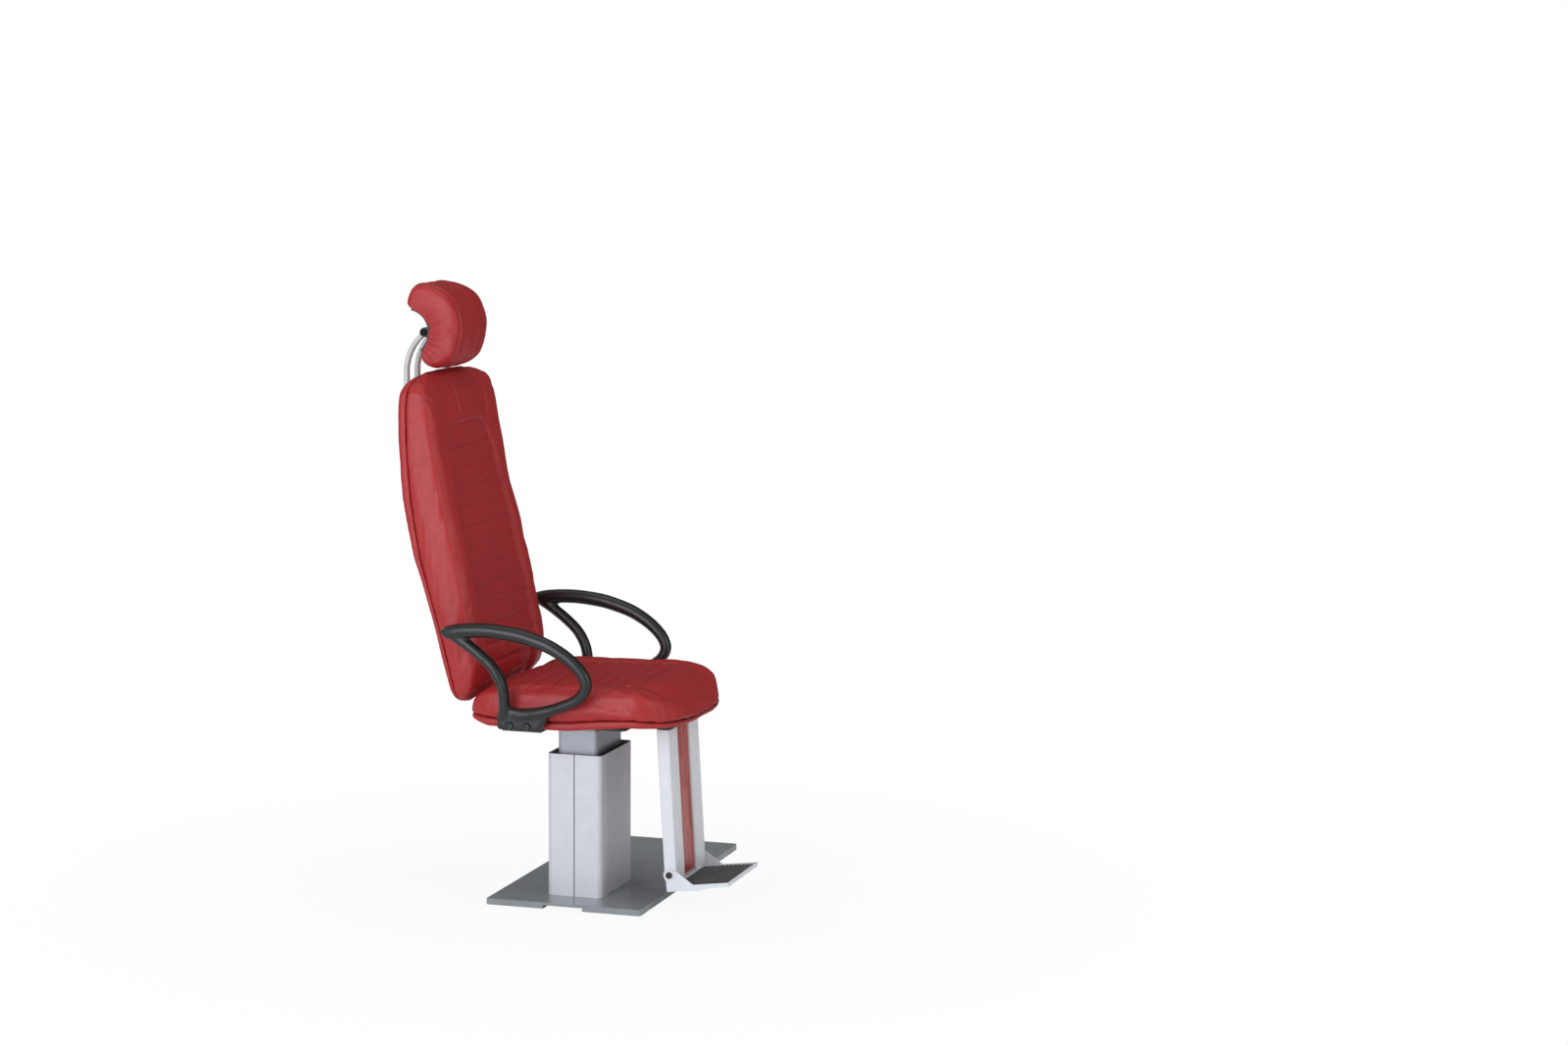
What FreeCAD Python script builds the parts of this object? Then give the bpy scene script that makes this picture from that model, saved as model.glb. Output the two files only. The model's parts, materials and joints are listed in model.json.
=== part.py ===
import FreeCAD
import Part
import math
import os

from FreeCAD import Vector

# Examination chair on a fixed lift column, in millimetres.
# The origin is on the floor at the middle of the column, +Z is up,
# the chair faces -Y and the sitter's left is +X.

# Clearances and the overrun of cutting bodies
REST_GAP = 0.3
RUNNING_GAP = 0.05
OVERRUN = 4.0

# Base plate
PLATE_REACH_LEFT = 538.0
PLATE_REACH_RIGHT = 182.0
PLATE_HALF_DEPTH = 185.0
PLATE_THICK = 14.0
PLATE_CORNER = 7.0
PLATE_EDGE = 1.5
CABLE_WIDTH = 94.0
CABLE_HEIGHT = 8.0
CABLE_HOLE_RADIUS = 9.0
CABLE_HOLE_INSET = 11.0
BASE_BOLT_RADIUS = 5.0
BASE_BOLT_HEAD_RADIUS = 9.5
BASE_BOLT_HEAD_SINK = 0.6
BASE_BOLT_SHARES = (0.586, 0.571)

# Column cover, two halves that meet on the narrow faces
COVER_WIDTH = 210.0
COVER_DEPTH = 131.0
COVER_WALL = 3.0
COVER_CORNER = 13.0
COVER_SEAM = 2.4
COLUMN_TOP = 341.0
CAP_RECESS = 2.5
CAP_THICK = 5.0
CAP_WIPE_GAP = 0.8

# Fixed guide tube
GUIDE_AIR = 3.0
GUIDE_WALL = 4.0
GUIDE_HALF_WIDTH = COVER_WIDTH / 2 - COVER_WALL - GUIDE_AIR
GUIDE_HALF_DEPTH = COVER_DEPTH / 2 - COVER_WALL - GUIDE_AIR
FOOT_THICK = 10.0
CABLE_HOLE_X = GUIDE_HALF_WIDTH - GUIDE_WALL - CABLE_HOLE_INSET
BASE_BOLT_X = GUIDE_HALF_WIDTH * BASE_BOLT_SHARES[0]
BASE_BOLT_Y = GUIDE_HALF_DEPTH * BASE_BOLT_SHARES[1]

# Lift tube, smaller than the guide tube by its glide pads
GLIDE_THICK_X = 10.0
GLIDE_THICK_Y = 8.0
LIFT_WIDTH = 2 * (GUIDE_HALF_WIDTH - GUIDE_WALL - GLIDE_THICK_X)
LIFT_DEPTH = 2 * (GUIDE_HALF_DEPTH - GUIDE_WALL - GLIDE_THICK_Y)
LIFT_WALL = 3.0
LIFT_CORNER = 10.0
LIFT_FOOT_ROOM = 14.0
LIFT_BOTTOM = PLATE_THICK + FOOT_THICK + LIFT_FOOT_ROOM
LIFT_STANDS_OUT = 51.0
LIFT_TOP = COLUMN_TOP + LIFT_STANDS_OUT
LIFT_PLATE_THICK = 6.0
LIFT_TRAVEL = 200.0

# Glide pads
PAD_WIDTH = 26.0
PAD_HEIGHT = 36.0
PAD_SPREAD_SHARES = (0.2824, 0.2526)
PAD_SPREAD_X = LIFT_WIDTH * PAD_SPREAD_SHARES[0]
PAD_SPREAD_Y = LIFT_DEPTH * PAD_SPREAD_SHARES[1]
PAD_STOP_ROOM = 8.0

# Lifting drive inside the lift tube; its widths are shares of the tube's
GEARBOX_SHARES = (0.812, 0.779)
GEARBOX_LENGTH = LIFT_WIDTH * GEARBOX_SHARES[0]
GEARBOX_DEPTH = LIFT_DEPTH * GEARBOX_SHARES[1]
GEARBOX_HEIGHT = 52.0
GEARBOX_CORNER = 8.0
MOTOR_SHARES = (0.1765, 0.1176)
MOTOR_RADIUS = LIFT_WIDTH * MOTOR_SHARES[0]
MOTOR_CAP_RADIUS = LIFT_WIDTH * MOTOR_SHARES[1]
MOTOR_HEIGHT = 150.0
MOTOR_CAP_HEIGHT = 8.0
DRIVE_X_SHARE = 0.2118
DRIVE_X = LIFT_WIDTH * DRIVE_X_SHARE
MOTOR_X = -DRIVE_X
DRIVE_RADIUS_SHARES = (0.1235, 0.0824, 0.0941)
DRIVE_TUBE_RADIUS = LIFT_WIDTH * DRIVE_RADIUS_SHARES[0]
ROD_RADIUS = LIFT_WIDTH * DRIVE_RADIUS_SHARES[1]
ROD_END_RADIUS = LIFT_WIDTH * DRIVE_RADIUS_SHARES[2]
DRIVE_TOP_ROOM = 40.0
DRIVE_TUBE_TOP = LIFT_TOP - DRIVE_TOP_ROOM
ROD_FOOT_RISE = 80.0
ROD_BOTTOM = PLATE_THICK + FOOT_THICK + ROD_FOOT_RISE
ROD_END_HEIGHT = 12.0

# Swivel
SWIVEL_RING_RADIUS = 62.0
SWIVEL_RING_THICK = 4.0
SWIVEL_DISC_THICK = 2.6
SWIVEL_DISC_RADIUS = 58.0
PIVOT_RADIUS = 15.0
PIVOT_DROP = 5.0
PIVOT_FLANGE_RADIUS = 19.0
NUT_RADIUS = 22.0
NUT_HEIGHT = 5.5
HUB_RADIUS = 27.0
HUB_HEIGHT = 4.4

# Seat plate and its two rails
SEAT_PLATE_WIDTH = 250.0
SEAT_PLATE_REAR = 112.0
SEAT_PLATE_FRONT = 128.0
SEAT_PLATE_THICK = 6.0
SEAT_PLATE_CORNER = 14.0
RAIL_WIDTH = 30.0
RAIL_INSET = 20.0
RAIL_CENTRE = SEAT_PLATE_WIDTH / 2 - RAIL_INSET
RAIL_STANDS_OUT = 34.0
RAIL_REAR = SEAT_PLATE_REAR + RAIL_STANDS_OUT
RAIL_FRONT = 26.0

# Seat: stations run from the rear edge to the front edge
SEAT_REAR = 209.0
SEAT_FRONT = 275.0
SEAT_HALF_WIDTH = 241.0
SEAT_RISE = 28.0
SEAT_BOTTOM = LIFT_TOP + SEAT_RISE
SEAT_SEAM_RISE = 16.5
SEAT_WAVE = 14.0
SEAT_THICK = 76.0
SHELL_WALL = 5.0
SHELL_FLOOR = 4.0
SHELL_DRAW = 7.0
SEAT_PANEL_SHARE = 0.664
SEAT_PANEL_HALF = SEAT_HALF_WIDTH * SEAT_PANEL_SHARE
SEAT_PANEL_SINK = 5.0
SEAT_PANEL_CROWN = 5.0
SEAT_LINE_DEPTH = 5.0
SEAT_LINE_PITCH = 40.0
SEAT_LINE_COUNT = 8
SEAT_LINE_INSET = 57.0
SEAT_LINE_FIRST = SEAT_REAR - SEAT_LINE_INSET
SEAT_SHOULDER = 34.0
SEAT_DRAW = 8.0

# Back: knots run up the spine at the pitch of the sewn lines
BACK_RISE = 42.0
BACK_HEIGHT = 735.0
BACK_INSET = 12.0
BACK_BEHIND = 28.0
BACK_LEAN = 124.0
BACK_BOTTOM = SEAT_BOTTOM + BACK_RISE
BACK_TOP = BACK_BOTTOM + BACK_HEIGHT
BACK_HALF_WIDTH = SEAT_HALF_WIDTH - BACK_INSET
BACK_ROOT = SEAT_REAR + BACK_BEHIND
BACK_THICK = 90.0
BACK_COVER_THICK = 25.0
BACK_COVER_CROWN = 9.0
BACK_COVER_FLAT_SHARE = 0.288
BACK_COVER_FLAT = BACK_HALF_WIDTH * BACK_COVER_FLAT_SHARE
BACK_BOARD_THICK = 8.0
BACK_BOARD_INSET = 9.0
BACK_PANEL_HALF_SHARE = 0.6245
BACK_PANEL_HALF = BACK_HALF_WIDTH * BACK_PANEL_HALF_SHARE
BACK_PANEL_SINK = 11.0
BACK_PANEL_CROWN = 5.0
BACK_LINE_DEPTH = 5.0
BACK_SHOULDER = 44.0
BACK_DRAW = 7.0

# Bent bar that carries the back
BAR_WIDTH = 70.0
BAR_THICK = 8.0
BAR_BEND = 30.0
BAR_OVERLAP = 68.0
BAR_FRONT_Y = SEAT_PLATE_REAR - BAR_OVERLAP
BAR_RISE = 232.0
BAR_TOP_Z = SEAT_BOTTOM + BAR_RISE
BAR_BOLT_RADIUS = 4.0
BAR_BOLT_HEAD_RADIUS = 7.0
BAR_BOLT_HEAD = 4.4
BAR_BOLT_SINK = 14.0
BAR_BOLT_SPREAD = 20.0
BAR_BOLT_DROPS = (92.0, 20.0)
BAR_BOLT_LOW_Z = BAR_TOP_Z - BAR_BOLT_DROPS[0]
BAR_BOLT_HIGH_Z = BAR_TOP_Z - BAR_BOLT_DROPS[1]

# Countersunk screws in the seat plate, and cap screws up into the seat board
FLAT_SCREW_RADIUS = 4.0
FLAT_SCREW_HEAD_RADIUS = 7.5
FLAT_SCREW_LENGTH = 11.0
FLAT_SCREW_HEX = 2.6
BAR_SCREW_X = 20.0
BAR_SCREW_INSETS = (46.0, 16.0)
BAR_SCREW_Y = [SEAT_PLATE_REAR - inset for inset in BAR_SCREW_INSETS]
HANGER_SCREW_X = 58.0
HANGER_SCREW_INSETS = (18.0, 52.0)
HANGER_SCREW_Y = [inset - SEAT_PLATE_FRONT for inset in HANGER_SCREW_INSETS]
RAIL_SCREW_INSETS = (120.0, 20.0)
RAIL_SCREW_Y = [SEAT_PLATE_REAR - inset for inset in RAIL_SCREW_INSETS]
SHELL_SCREW_RADIUS = 3.0
SHELL_SCREW_HEAD_RADIUS = 5.5
SHELL_SCREW_HEAD = 3.6
SHELL_SCREW_BITE = 7.0
ANGLE_SCREW_INSET = 16.0

# Armrests
ARM_SIDE_GAP = 5.0
ARM_FLARE = 18.0
ARM_LENGTH = 326.0
ARM_BEHIND = 27.0
ARM_FOOT_RISE = 26.0
ARM_RISE = 223.0
ARM_REAR = SEAT_REAR + ARM_BEHIND
ARM_FRONT = ARM_LENGTH - ARM_REAR
ARM_LOW = SEAT_BOTTOM + ARM_FOOT_RISE
ARM_HIGH = SEAT_BOTTOM + ARM_RISE
ARM_HALF_WIDTH = 17.0
ARM_HALF_HEIGHT = 16.5
STRUT_HALF_WIDTH = 14.0
STRUT_HALF_HEIGHT = 12.8
ARM_BLOCK_THICK = 28.0
ARM_BLOCK_HEIGHT = 52.0
ARM_BLOCK_RISE = 1.0
ARM_BLOCK_LENGTH = 127.0
ARM_BLOCK_BACK = 113.0
ARM_BLOCK_BOTTOM = SEAT_BOTTOM + ARM_BLOCK_RISE
ARM_BLOCK_TOP = ARM_BLOCK_BOTTOM + ARM_BLOCK_HEIGHT
ARM_BLOCK_REAR = ARM_REAR - ARM_BLOCK_BACK
ARM_BLOCK_FRONT = ARM_BLOCK_LENGTH - ARM_BLOCK_REAR
ARM_FOOT_X = SEAT_HALF_WIDTH + ARM_SIDE_GAP + ARM_BLOCK_THICK / 2
ARM_TIP_X = ARM_FOOT_X + ARM_FLARE
ARM_BLOCK_BEVEL = 5.0
ARM_BLOCK_RAKE = 26.0
ARM_SCREW_RADIUS = 4.0
ARM_SCREW_HEAD_RADIUS = 6.5
ARM_SCREW_HEAD = 4.0
ARM_SCREW_RISE = 10.0
ARM_SCREW_INSET = 73.0
ARM_SCREW_FIRST_Y = ARM_BLOCK_REAR - ARM_SCREW_INSET
ARM_SCREW_PITCH = 40.0
ANGLE_THICK = 5.0
ANGLE_RAIL_GAP = 33.7
ANGLE_SCREW_REACH = 18.3
ANGLE_INNER_X = RAIL_CENTRE + RAIL_WIDTH / 2 + ANGLE_RAIL_GAP
ANGLE_SCREW_X = ANGLE_INNER_X + ANGLE_SCREW_REACH
ANGLE_RISE = 19.0
ANGLE_MARGIN = 5.0

# Footrest; the tray's outline is laid off from its pivot axis
FOOT_LEAN_DEG = 3.4
FOOT_HALF_WIDTH = 107.0
UPRIGHT_WIDTH = 64.0
UPRIGHT_DEPTH = 29.0
UPRIGHT_CORNER = 5.0
UPRIGHT_WALL = 2.0
PLUG_DEPTH = 14.0
PANEL_RECESS = 7.0
PANEL_THICK = 16.0
PANEL_END_GAP = 6.0
HANGER_THICK = 6.0
HANGER_SIDE_INSET = 9.0
HANGER_WIDTH = 2 * (FOOT_HALF_WIDTH - HANGER_SIDE_INSET)
HANGER_OVERLAP = 72.0
HANGER_REAR = SEAT_PLATE_FRONT - HANGER_OVERLAP
HANGER_OVERHANG = 3.0
PEDAL_AXIS_Y = 230.0
PEDAL_AXIS_Z = 82.0
FOOT_DROP = 14.0
FOOT_BOTTOM_Z = PEDAL_AXIS_Z - FOOT_DROP
PEDAL_RANGE_DEG = 85.0
GUSSET_THICK = 3.0
GUSSET_GAP = 0.6
PEDAL_OUT = (136.0, 55.0, -11.0, 76.0)
PEDAL_DOWN = (8.0, 18.5, 39.0, 30.0)
PEDAL_FRONT_Y = PEDAL_AXIS_Y + PEDAL_OUT[0]
PEDAL_FRONT_Z = PEDAL_AXIS_Z - PEDAL_DOWN[0]
PEDAL_HEEL_Y = PEDAL_AXIS_Y + PEDAL_OUT[1]
PEDAL_HEEL_Z = PEDAL_AXIS_Z - PEDAL_DOWN[1]
PEDAL_REAR_Y = PEDAL_AXIS_Y + PEDAL_OUT[2]
PEDAL_LOW_Z = PEDAL_AXIS_Z - PEDAL_DOWN[2]
PEDAL_STEP_Y = PEDAL_AXIS_Y + PEDAL_OUT[3]
PEDAL_STEP_Z = PEDAL_AXIS_Z - PEDAL_DOWN[3]
PEDAL_LIP = 9.0
PEDAL_FLOOR_THICK = 3.0
PEDAL_FLOOR_DROP = 5.0
PEDAL_BOSS_RADIUS = 14.0
BOSS_STEP = 2.0
MAT_THICK = 2.0
MAT_RIB = 1.4
MAT_RIB_COUNT = 12
MAT_MARGIN = 4.0
MAT_REAR_INSET = 10.0
MAT_REAR_Y = PEDAL_AXIS_Y + MAT_REAR_INSET
PEDAL_PIN_RADIUS = 4.0
PEDAL_PIN_LENGTH = 26.0
PEDAL_BUSH_WALL = 1.6
PEDAL_HEAD_RADIUS = 7.2
PEDAL_HEAD = 4.6
SOCKET_DEPTH = 2.4

# Headrest
TUBE_RADIUS = 7.0
TUBE_WALL = 1.5
TUBE_X = 31.0
TUBE_BEND_RADIUS = 113.0
TUBE_BEND_DEG = 55.0
STOP_BAR_HEIGHT = 12.0
STOP_BAR_DEPTH = 18.0
STOP_ROOM = 20.0
HEADREST_TRAVEL = 80.0
BLOCK_WIDTH = 94.0
BLOCK_DEPTH_BEHIND = 9.0
BLOCK_HEIGHT = 82.0
BLOCK_DROP = 163.0
BLOCK_LOW_Z = BACK_TOP - BLOCK_DROP
BLOCK_HIGH_Z = BLOCK_LOW_Z + BLOCK_HEIGHT
BLOCK_CORNER = 6.0
BLOCK_SCREW_RADIUS = 3.0
BLOCK_SCREW_HEAD_RADIUS = 5.5
BLOCK_SCREW_HEAD = 3.6
BLOCK_SCREW_SINK = 12.0
HEAD_GAP = 3.8
HEAD_HEIGHT = 194.2
HEAD_REACH = 106.5
HEAD_BEHIND = 24.0
HEAD_HOLLOW = 35.0
TILT_SHARE = 0.4181
HEAD_BOTTOM_Z = BACK_TOP + HEAD_GAP
HEAD_TOP_Z = HEAD_BOTTOM_Z + HEAD_HEIGHT
TILT_AXIS_Y = BACK_ROOT + BACK_LEAN + BACK_COVER_THICK
TILT_AXIS_Z = HEAD_BOTTOM_Z + HEAD_HEIGHT * TILT_SHARE
HEAD_FRONT_Y = TILT_AXIS_Y - HEAD_REACH
HEAD_BACK_Y = TILT_AXIS_Y + HEAD_BEHIND
HEAD_HOLLOW_Y = TILT_AXIS_Y - HEAD_HOLLOW
TUBE_Y = TILT_AXIS_Y + TUBE_BEND_RADIUS * (1 - math.cos(math.radians(TUBE_BEND_DEG)))
TUBE_BEND_Z = TILT_AXIS_Z - TUBE_BEND_RADIUS * math.sin(math.radians(TUBE_BEND_DEG))
TUBE_LOW_Z = BLOCK_LOW_Z - HEADREST_TRAVEL - STOP_ROOM
BARREL_RADIUS = 11.0
BARREL_HALF = 40.0
TILT_PIN_RADIUS = 4.0
TILT_HEAD_RADIUS = 8.0
TILT_HEAD = 4.5
EAR_THICK = 4.0
EAR_GAP = 0.4
EAR_RADIUS = 10.0
HEAD_HALF_WIDTH = 96.0
HEAD_BOARD_THICK = 7.0
HEAD_PUFF = 17.0
BACKPLATE_THICK = 4.0
BACKPLATE_SHARE = 0.278
BACKPLATE_HEIGHT = HEAD_HEIGHT * BACKPLATE_SHARE

# Stations of the seat, rear edge to front edge: place along the depth,
# then width, top height, seam and bottom wave, all as shares
SEAT_SHARES = (
    (0.000, 0.851, 0.493, 0.50, 0.86),
    (0.012, 0.888, 0.586, 0.48, 0.80),
    (0.033, 0.917, 0.691, 0.36, 0.56),
    (0.068, 0.946, 0.809, 0.20, 0.22),
    (0.112, 0.967, 0.888, 0.10, 0.00),
    (0.211, 0.983, 0.954, 0.03, 0.00),
    (0.390, 1.000, 0.980, 0.00, 0.00),
    (0.494, 1.000, 0.993, 0.10, 0.03),
    (0.597, 1.000, 1.007, 0.48, 0.40),
    (0.711, 0.998, 1.013, 0.84, 0.78),
    (0.783, 0.994, 1.007, 0.94, 1.00),
    (0.829, 0.983, 0.980, 0.94, 1.00),
    (0.866, 0.950, 0.934, 0.76, 0.98),
    (0.903, 0.888, 0.862, 0.60, 0.88),
    (0.932, 0.813, 0.776, 0.45, 0.80),
    (0.955, 0.726, 0.678, 0.34, 0.74),
    (0.973, 0.622, 0.566, 0.26, 0.70),
    (0.988, 0.498, 0.447, 0.20, 0.67),
    (0.996, 0.382, 0.355, 0.16, 0.64),
    (1.000, 0.290, 0.296, 0.14, 0.62),
)

# Knots of the back: height, lean of the rear joint, half width, cushion
# thickness and cover thickness, all as shares
BACK_SHARES = (
    (0.0000, 0.000, 0.795, 0.133, 0.32),
    (0.0082, 0.010, 0.869, 0.217, 0.38),
    (0.0218, 0.027, 0.930, 0.283, 0.45),
    (0.0354, 0.044, 0.959, 0.394, 0.50),
    (0.0482, 0.060, 0.974, 0.506, 0.53),
    (0.1083, 0.132, 0.997, 0.702, 0.59),
    (0.1684, 0.222, 0.999, 0.772, 0.58),
    (0.2286, 0.321, 1.000, 0.820, 0.58),
    (0.2887, 0.423, 0.999, 0.868, 0.58),
    (0.3488, 0.531, 0.992, 0.926, 0.62),
    (0.4090, 0.638, 0.984, 0.971, 0.68),
    (0.4691, 0.729, 0.976, 0.971, 0.84),
    (0.5293, 0.798, 0.968, 0.949, 0.94),
    (0.5894, 0.862, 0.961, 0.904, 1.00),
    (0.6495, 0.913, 0.955, 0.852, 1.00),
    (0.7097, 0.947, 0.950, 0.802, 1.00),
    (0.7698, 0.978, 0.941, 0.757, 1.00),
    (0.8312, 0.994, 0.937, 0.697, 1.00),
    (0.8919, 0.999, 0.930, 0.617, 1.00),
    (0.9336, 0.988, 0.918, 0.531, 0.94),
    (0.9573, 0.973, 0.887, 0.458, 0.85),
    (0.9734, 0.950, 0.831, 0.380, 0.73),
    (0.9877, 0.930, 0.713, 0.278, 0.58),
    (1.0000, 0.911, 0.428, 0.156, 0.40),
)
BACK_PANEL_SHARES = (0.80, 1.06)
BACK_PANEL_TOP_SHARE = 0.81
LINE_SKIP_COUNT = 4
LINE_COUNT = 13

# Centre line of the arm loop from its rear end round to the foot block:
# place along the arm, height, and the two section radii, all as shares
ARM_SHARES = (
    (1.030, 0.925, 0.55, 0.50),
    (1.005, 0.950, 0.90, 0.88),
    (0.890, 0.985, 1.00, 1.00),
    (0.706, 1.000, 1.00, 1.00),
    (0.517, 0.972, 1.00, 1.00),
    (0.401, 0.930, 0.98, 0.98),
    (0.278, 0.865, 0.96, 0.95),
    (0.187, 0.789, 0.93, 0.92),
    (0.110, 0.703, 0.90, 0.89),
    (0.043, 0.597, 0.87, 0.86),
    (0.006, 0.492, 0.85, 0.83),
    (0.002, 0.406, 0.83, 0.80),
    (0.031, 0.322, 0.81, 0.77),
    (0.083, 0.250, 0.80, 0.76),
    (0.162, 0.188, 0.80, 0.76),
    (0.254, 0.130, 0.80, 0.78),
    (0.339, 0.076, 0.80, 0.80),
    (0.431, 0.030, 0.76, 0.74),
)
STRUT_SHARES = (
    (0.600, 0.020),
    (0.597, 0.122),
    (0.596, 0.245),
    (0.616, 0.410),
    (0.675, 0.580),
    (0.768, 0.722),
    (0.875, 0.848),
    (0.955, 0.925),
)

# Headrest profile from its upper rear tip over the front to its lower rear tip:
# shares of its depth and of its height
HEAD_PROFILE_SHARES = (
    (0.908, 0.722),
    (1.000, 0.784),
    (0.946, 0.892),
    (0.839, 0.972),
    (0.663, 1.000),
    (0.356, 0.936),
    (0.126, 0.789),
    (0.000, 0.501),
    (0.126, 0.166),
    (0.295, 0.055),
    (0.510, 0.000),
    (0.697, 0.058),
    (0.759, 0.150),
    (0.716, 0.202),
)
# Stations across the headrest: share of the half width and share of the draw-in
HEAD_STATION_SHARES = ((1.00, 1.0), (0.975, 0.64), (0.93, 0.38), (0.84, 0.19), (0.62, 0.07), (0.00, 0.0))
PAD_SIDE_SHARE = 0.48
COVER_EDGE_SHARE = 0.78
COVER_HUMP_SHARE = 0.26
PAD_SHOULDER_SHARE = 0.90
HEX_SHARE = 0.56
BOLT_CONE_SHARE = 0.5


def lerp(a, b, t):
    """Value between a and b at share t."""
    return a + (b - a) * t


def box(x0, x1, y0, y1, z0, z1):
    """Block between two corners."""
    return Part.makeBox(x1 - x0, y1 - y0, z1 - z0, Vector(x0, y0, z0))


def cylinder(start, direction, radius, length):
    """Round bar from a point along a direction."""
    return Part.makeCylinder(radius, length, start, direction)


def closed_face(points):
    """Flat face inside straight edges."""
    return Part.Face(Part.makePolygon(list(points) + [points[0]]))


def rounded_prism(x0, x1, y0, y1, z0, z1, corner):
    """Upright block with rounded vertical edges."""
    body = box(x0, x1, y0, y1, z0, z1)
    upright = [e for e in body.Edges if abs(e.tangentAt(e.FirstParameter).z) > HEX_SHARE]
    return body.makeFillet(corner, upright)


def hex_prism(start, direction, radius, length):
    """Six-sided bar, radius to its corners."""
    axis = Vector(direction)
    side = axis.cross(Vector(0, 0, 1))
    if side.Length < HEX_SHARE:
        side = axis.cross(Vector(0, 1, 0))
    side.normalize()
    other = axis.cross(side)
    points = []
    for i in range(6):
        angle = math.radians(60 * i)
        points.append(start + side * (radius * math.cos(angle)) + other * (radius * math.sin(angle)))
    return closed_face(points).extrude(axis * length)


def socket_screw(seat, direction, head_radius, head, shank_radius, shank):
    """Cap screw whose head sits on a surface; direction points out of it."""
    axis = Vector(direction)
    stem = cylinder(seat - axis * shank, axis, shank_radius, shank + head)
    body = cylinder(seat, axis, head_radius, head).fuse(stem)
    floor = seat + axis * (head - SOCKET_DEPTH)
    socket = hex_prism(floor, axis, head_radius * HEX_SHARE, SOCKET_DEPTH + OVERRUN)
    return body.cut(socket).removeSplitter()


def ring(radius_out, radius_in, z0, z1):
    """Flat ring about the column's axis."""
    outer = cylinder(Vector(0, 0, z0), Vector(0, 0, 1), radius_out, z1 - z0)
    inner = cylinder(Vector(0, 0, z0 - OVERRUN), Vector(0, 0, 1), radius_in, z1 - z0 + 2 * OVERRUN)
    return outer.cut(inner)


def mirrored(shape):
    """Copy on the other side of the chair."""
    return shape.mirror(Vector(0, 0, 0), Vector(1, 0, 0))


def save(node, *solids):
    """Write one node as a STEP file."""
    flat = []
    for item in solids:
        flat.extend(item.Solids)
    shape = flat[0] if len(flat) == 1 else Part.makeCompound(flat)
    if not shape.isValid():
        print("invalid", node)
    shape.exportStep("parts/" + node + ".step")


# Base and column


def base_bolt_points():
    return [(sx * BASE_BOLT_X, sy * BASE_BOLT_Y) for sx in (-1, 1) for sy in (-1, 1)]


def base_bolt(x, y, gap):
    """Countersunk bolt from below; gap widens it into its hole."""
    up = Vector(0, 0, 1)
    low = BASE_BOLT_HEAD_SINK - gap
    cone = (BASE_BOLT_HEAD_RADIUS - BASE_BOLT_RADIUS)
    head = Part.makeCone(BASE_BOLT_HEAD_RADIUS + gap, BASE_BOLT_RADIUS + gap, cone, Vector(x, y, low), up)
    top = PLATE_THICK + FOOT_THICK - BASE_BOLT_HEAD_SINK
    shank = cylinder(Vector(x, y, low), up, BASE_BOLT_RADIUS + gap, top - low)
    return head.fuse(shank)


def base_plate():
    """Flat plate with chamfered rim, cable channel and bolt holes."""
    body = rounded_prism(-PLATE_REACH_RIGHT, PLATE_REACH_LEFT, -PLATE_HALF_DEPTH, PLATE_HALF_DEPTH,
                         0, PLATE_THICK, PLATE_CORNER)
    top = [e for e in body.Edges if min(v.Z for v in e.Vertexes) > PLATE_THICK - PLATE_EDGE]
    body = body.makeChamfer(PLATE_EDGE, top)
    channel = box(-PLATE_REACH_RIGHT - OVERRUN, -CABLE_HOLE_X + CABLE_HOLE_RADIUS,
                  -CABLE_WIDTH / 2, CABLE_WIDTH / 2, -OVERRUN, CABLE_HEIGHT)
    body = body.cut(channel)
    start = Vector(-CABLE_HOLE_X, 0, 0)
    body = body.cut(cylinder(start, Vector(0, 0, 1), CABLE_HOLE_RADIUS, PLATE_THICK + OVERRUN))
    for x, y in base_bolt_points():
        hole = base_bolt(x, y, REST_GAP)
        mouth = cylinder(Vector(x, y, -OVERRUN), Vector(0, 0, 1), BASE_BOLT_HEAD_RADIUS + REST_GAP,
                         OVERRUN + BASE_BOLT_HEAD_SINK)
        body = body.cut(hole).cut(mouth)
    return body


def column_cover():
    """Both halves of the folded cover, front and rear."""
    half_w = COVER_WIDTH / 2
    half_d = COVER_DEPTH / 2
    low = PLATE_THICK
    outer = rounded_prism(-half_w, half_w, -half_d, half_d, low, COLUMN_TOP, COVER_CORNER)
    half_w -= COVER_WALL
    half_d -= COVER_WALL
    inner = rounded_prism(-half_w, half_w, -half_d, half_d, low - OVERRUN, COLUMN_TOP + OVERRUN,
                          COVER_CORNER - COVER_WALL)
    tube = outer.cut(inner)
    halves = []
    for sign in (-1, 1):
        near = sign * COVER_SEAM / 2
        far = sign * COVER_DEPTH
        keep = box(-COVER_WIDTH, COVER_WIDTH, min(near, far), max(near, far), 0, COLUMN_TOP + OVERRUN)
        halves.append(tube.common(keep))
    return halves


def cap_z():
    return COLUMN_TOP - CAP_RECESS - CAP_THICK


def column_cap():
    """Ring that closes the gap round the lift tube."""
    half_w = COVER_WIDTH / 2 - COVER_WALL - REST_GAP
    half_d = COVER_DEPTH / 2 - COVER_WALL - REST_GAP
    plate = rounded_prism(-half_w, half_w, -half_d, half_d, cap_z(), cap_z() + CAP_THICK,
                          COVER_CORNER - COVER_WALL)
    hole_w = LIFT_WIDTH / 2 + CAP_WIPE_GAP
    hole_d = LIFT_DEPTH / 2 + CAP_WIPE_GAP
    hole = rounded_prism(-hole_w, hole_w, -hole_d, hole_d, cap_z() - OVERRUN, COLUMN_TOP + OVERRUN,
                         LIFT_CORNER + CAP_WIPE_GAP)
    return plate.cut(hole)


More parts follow.
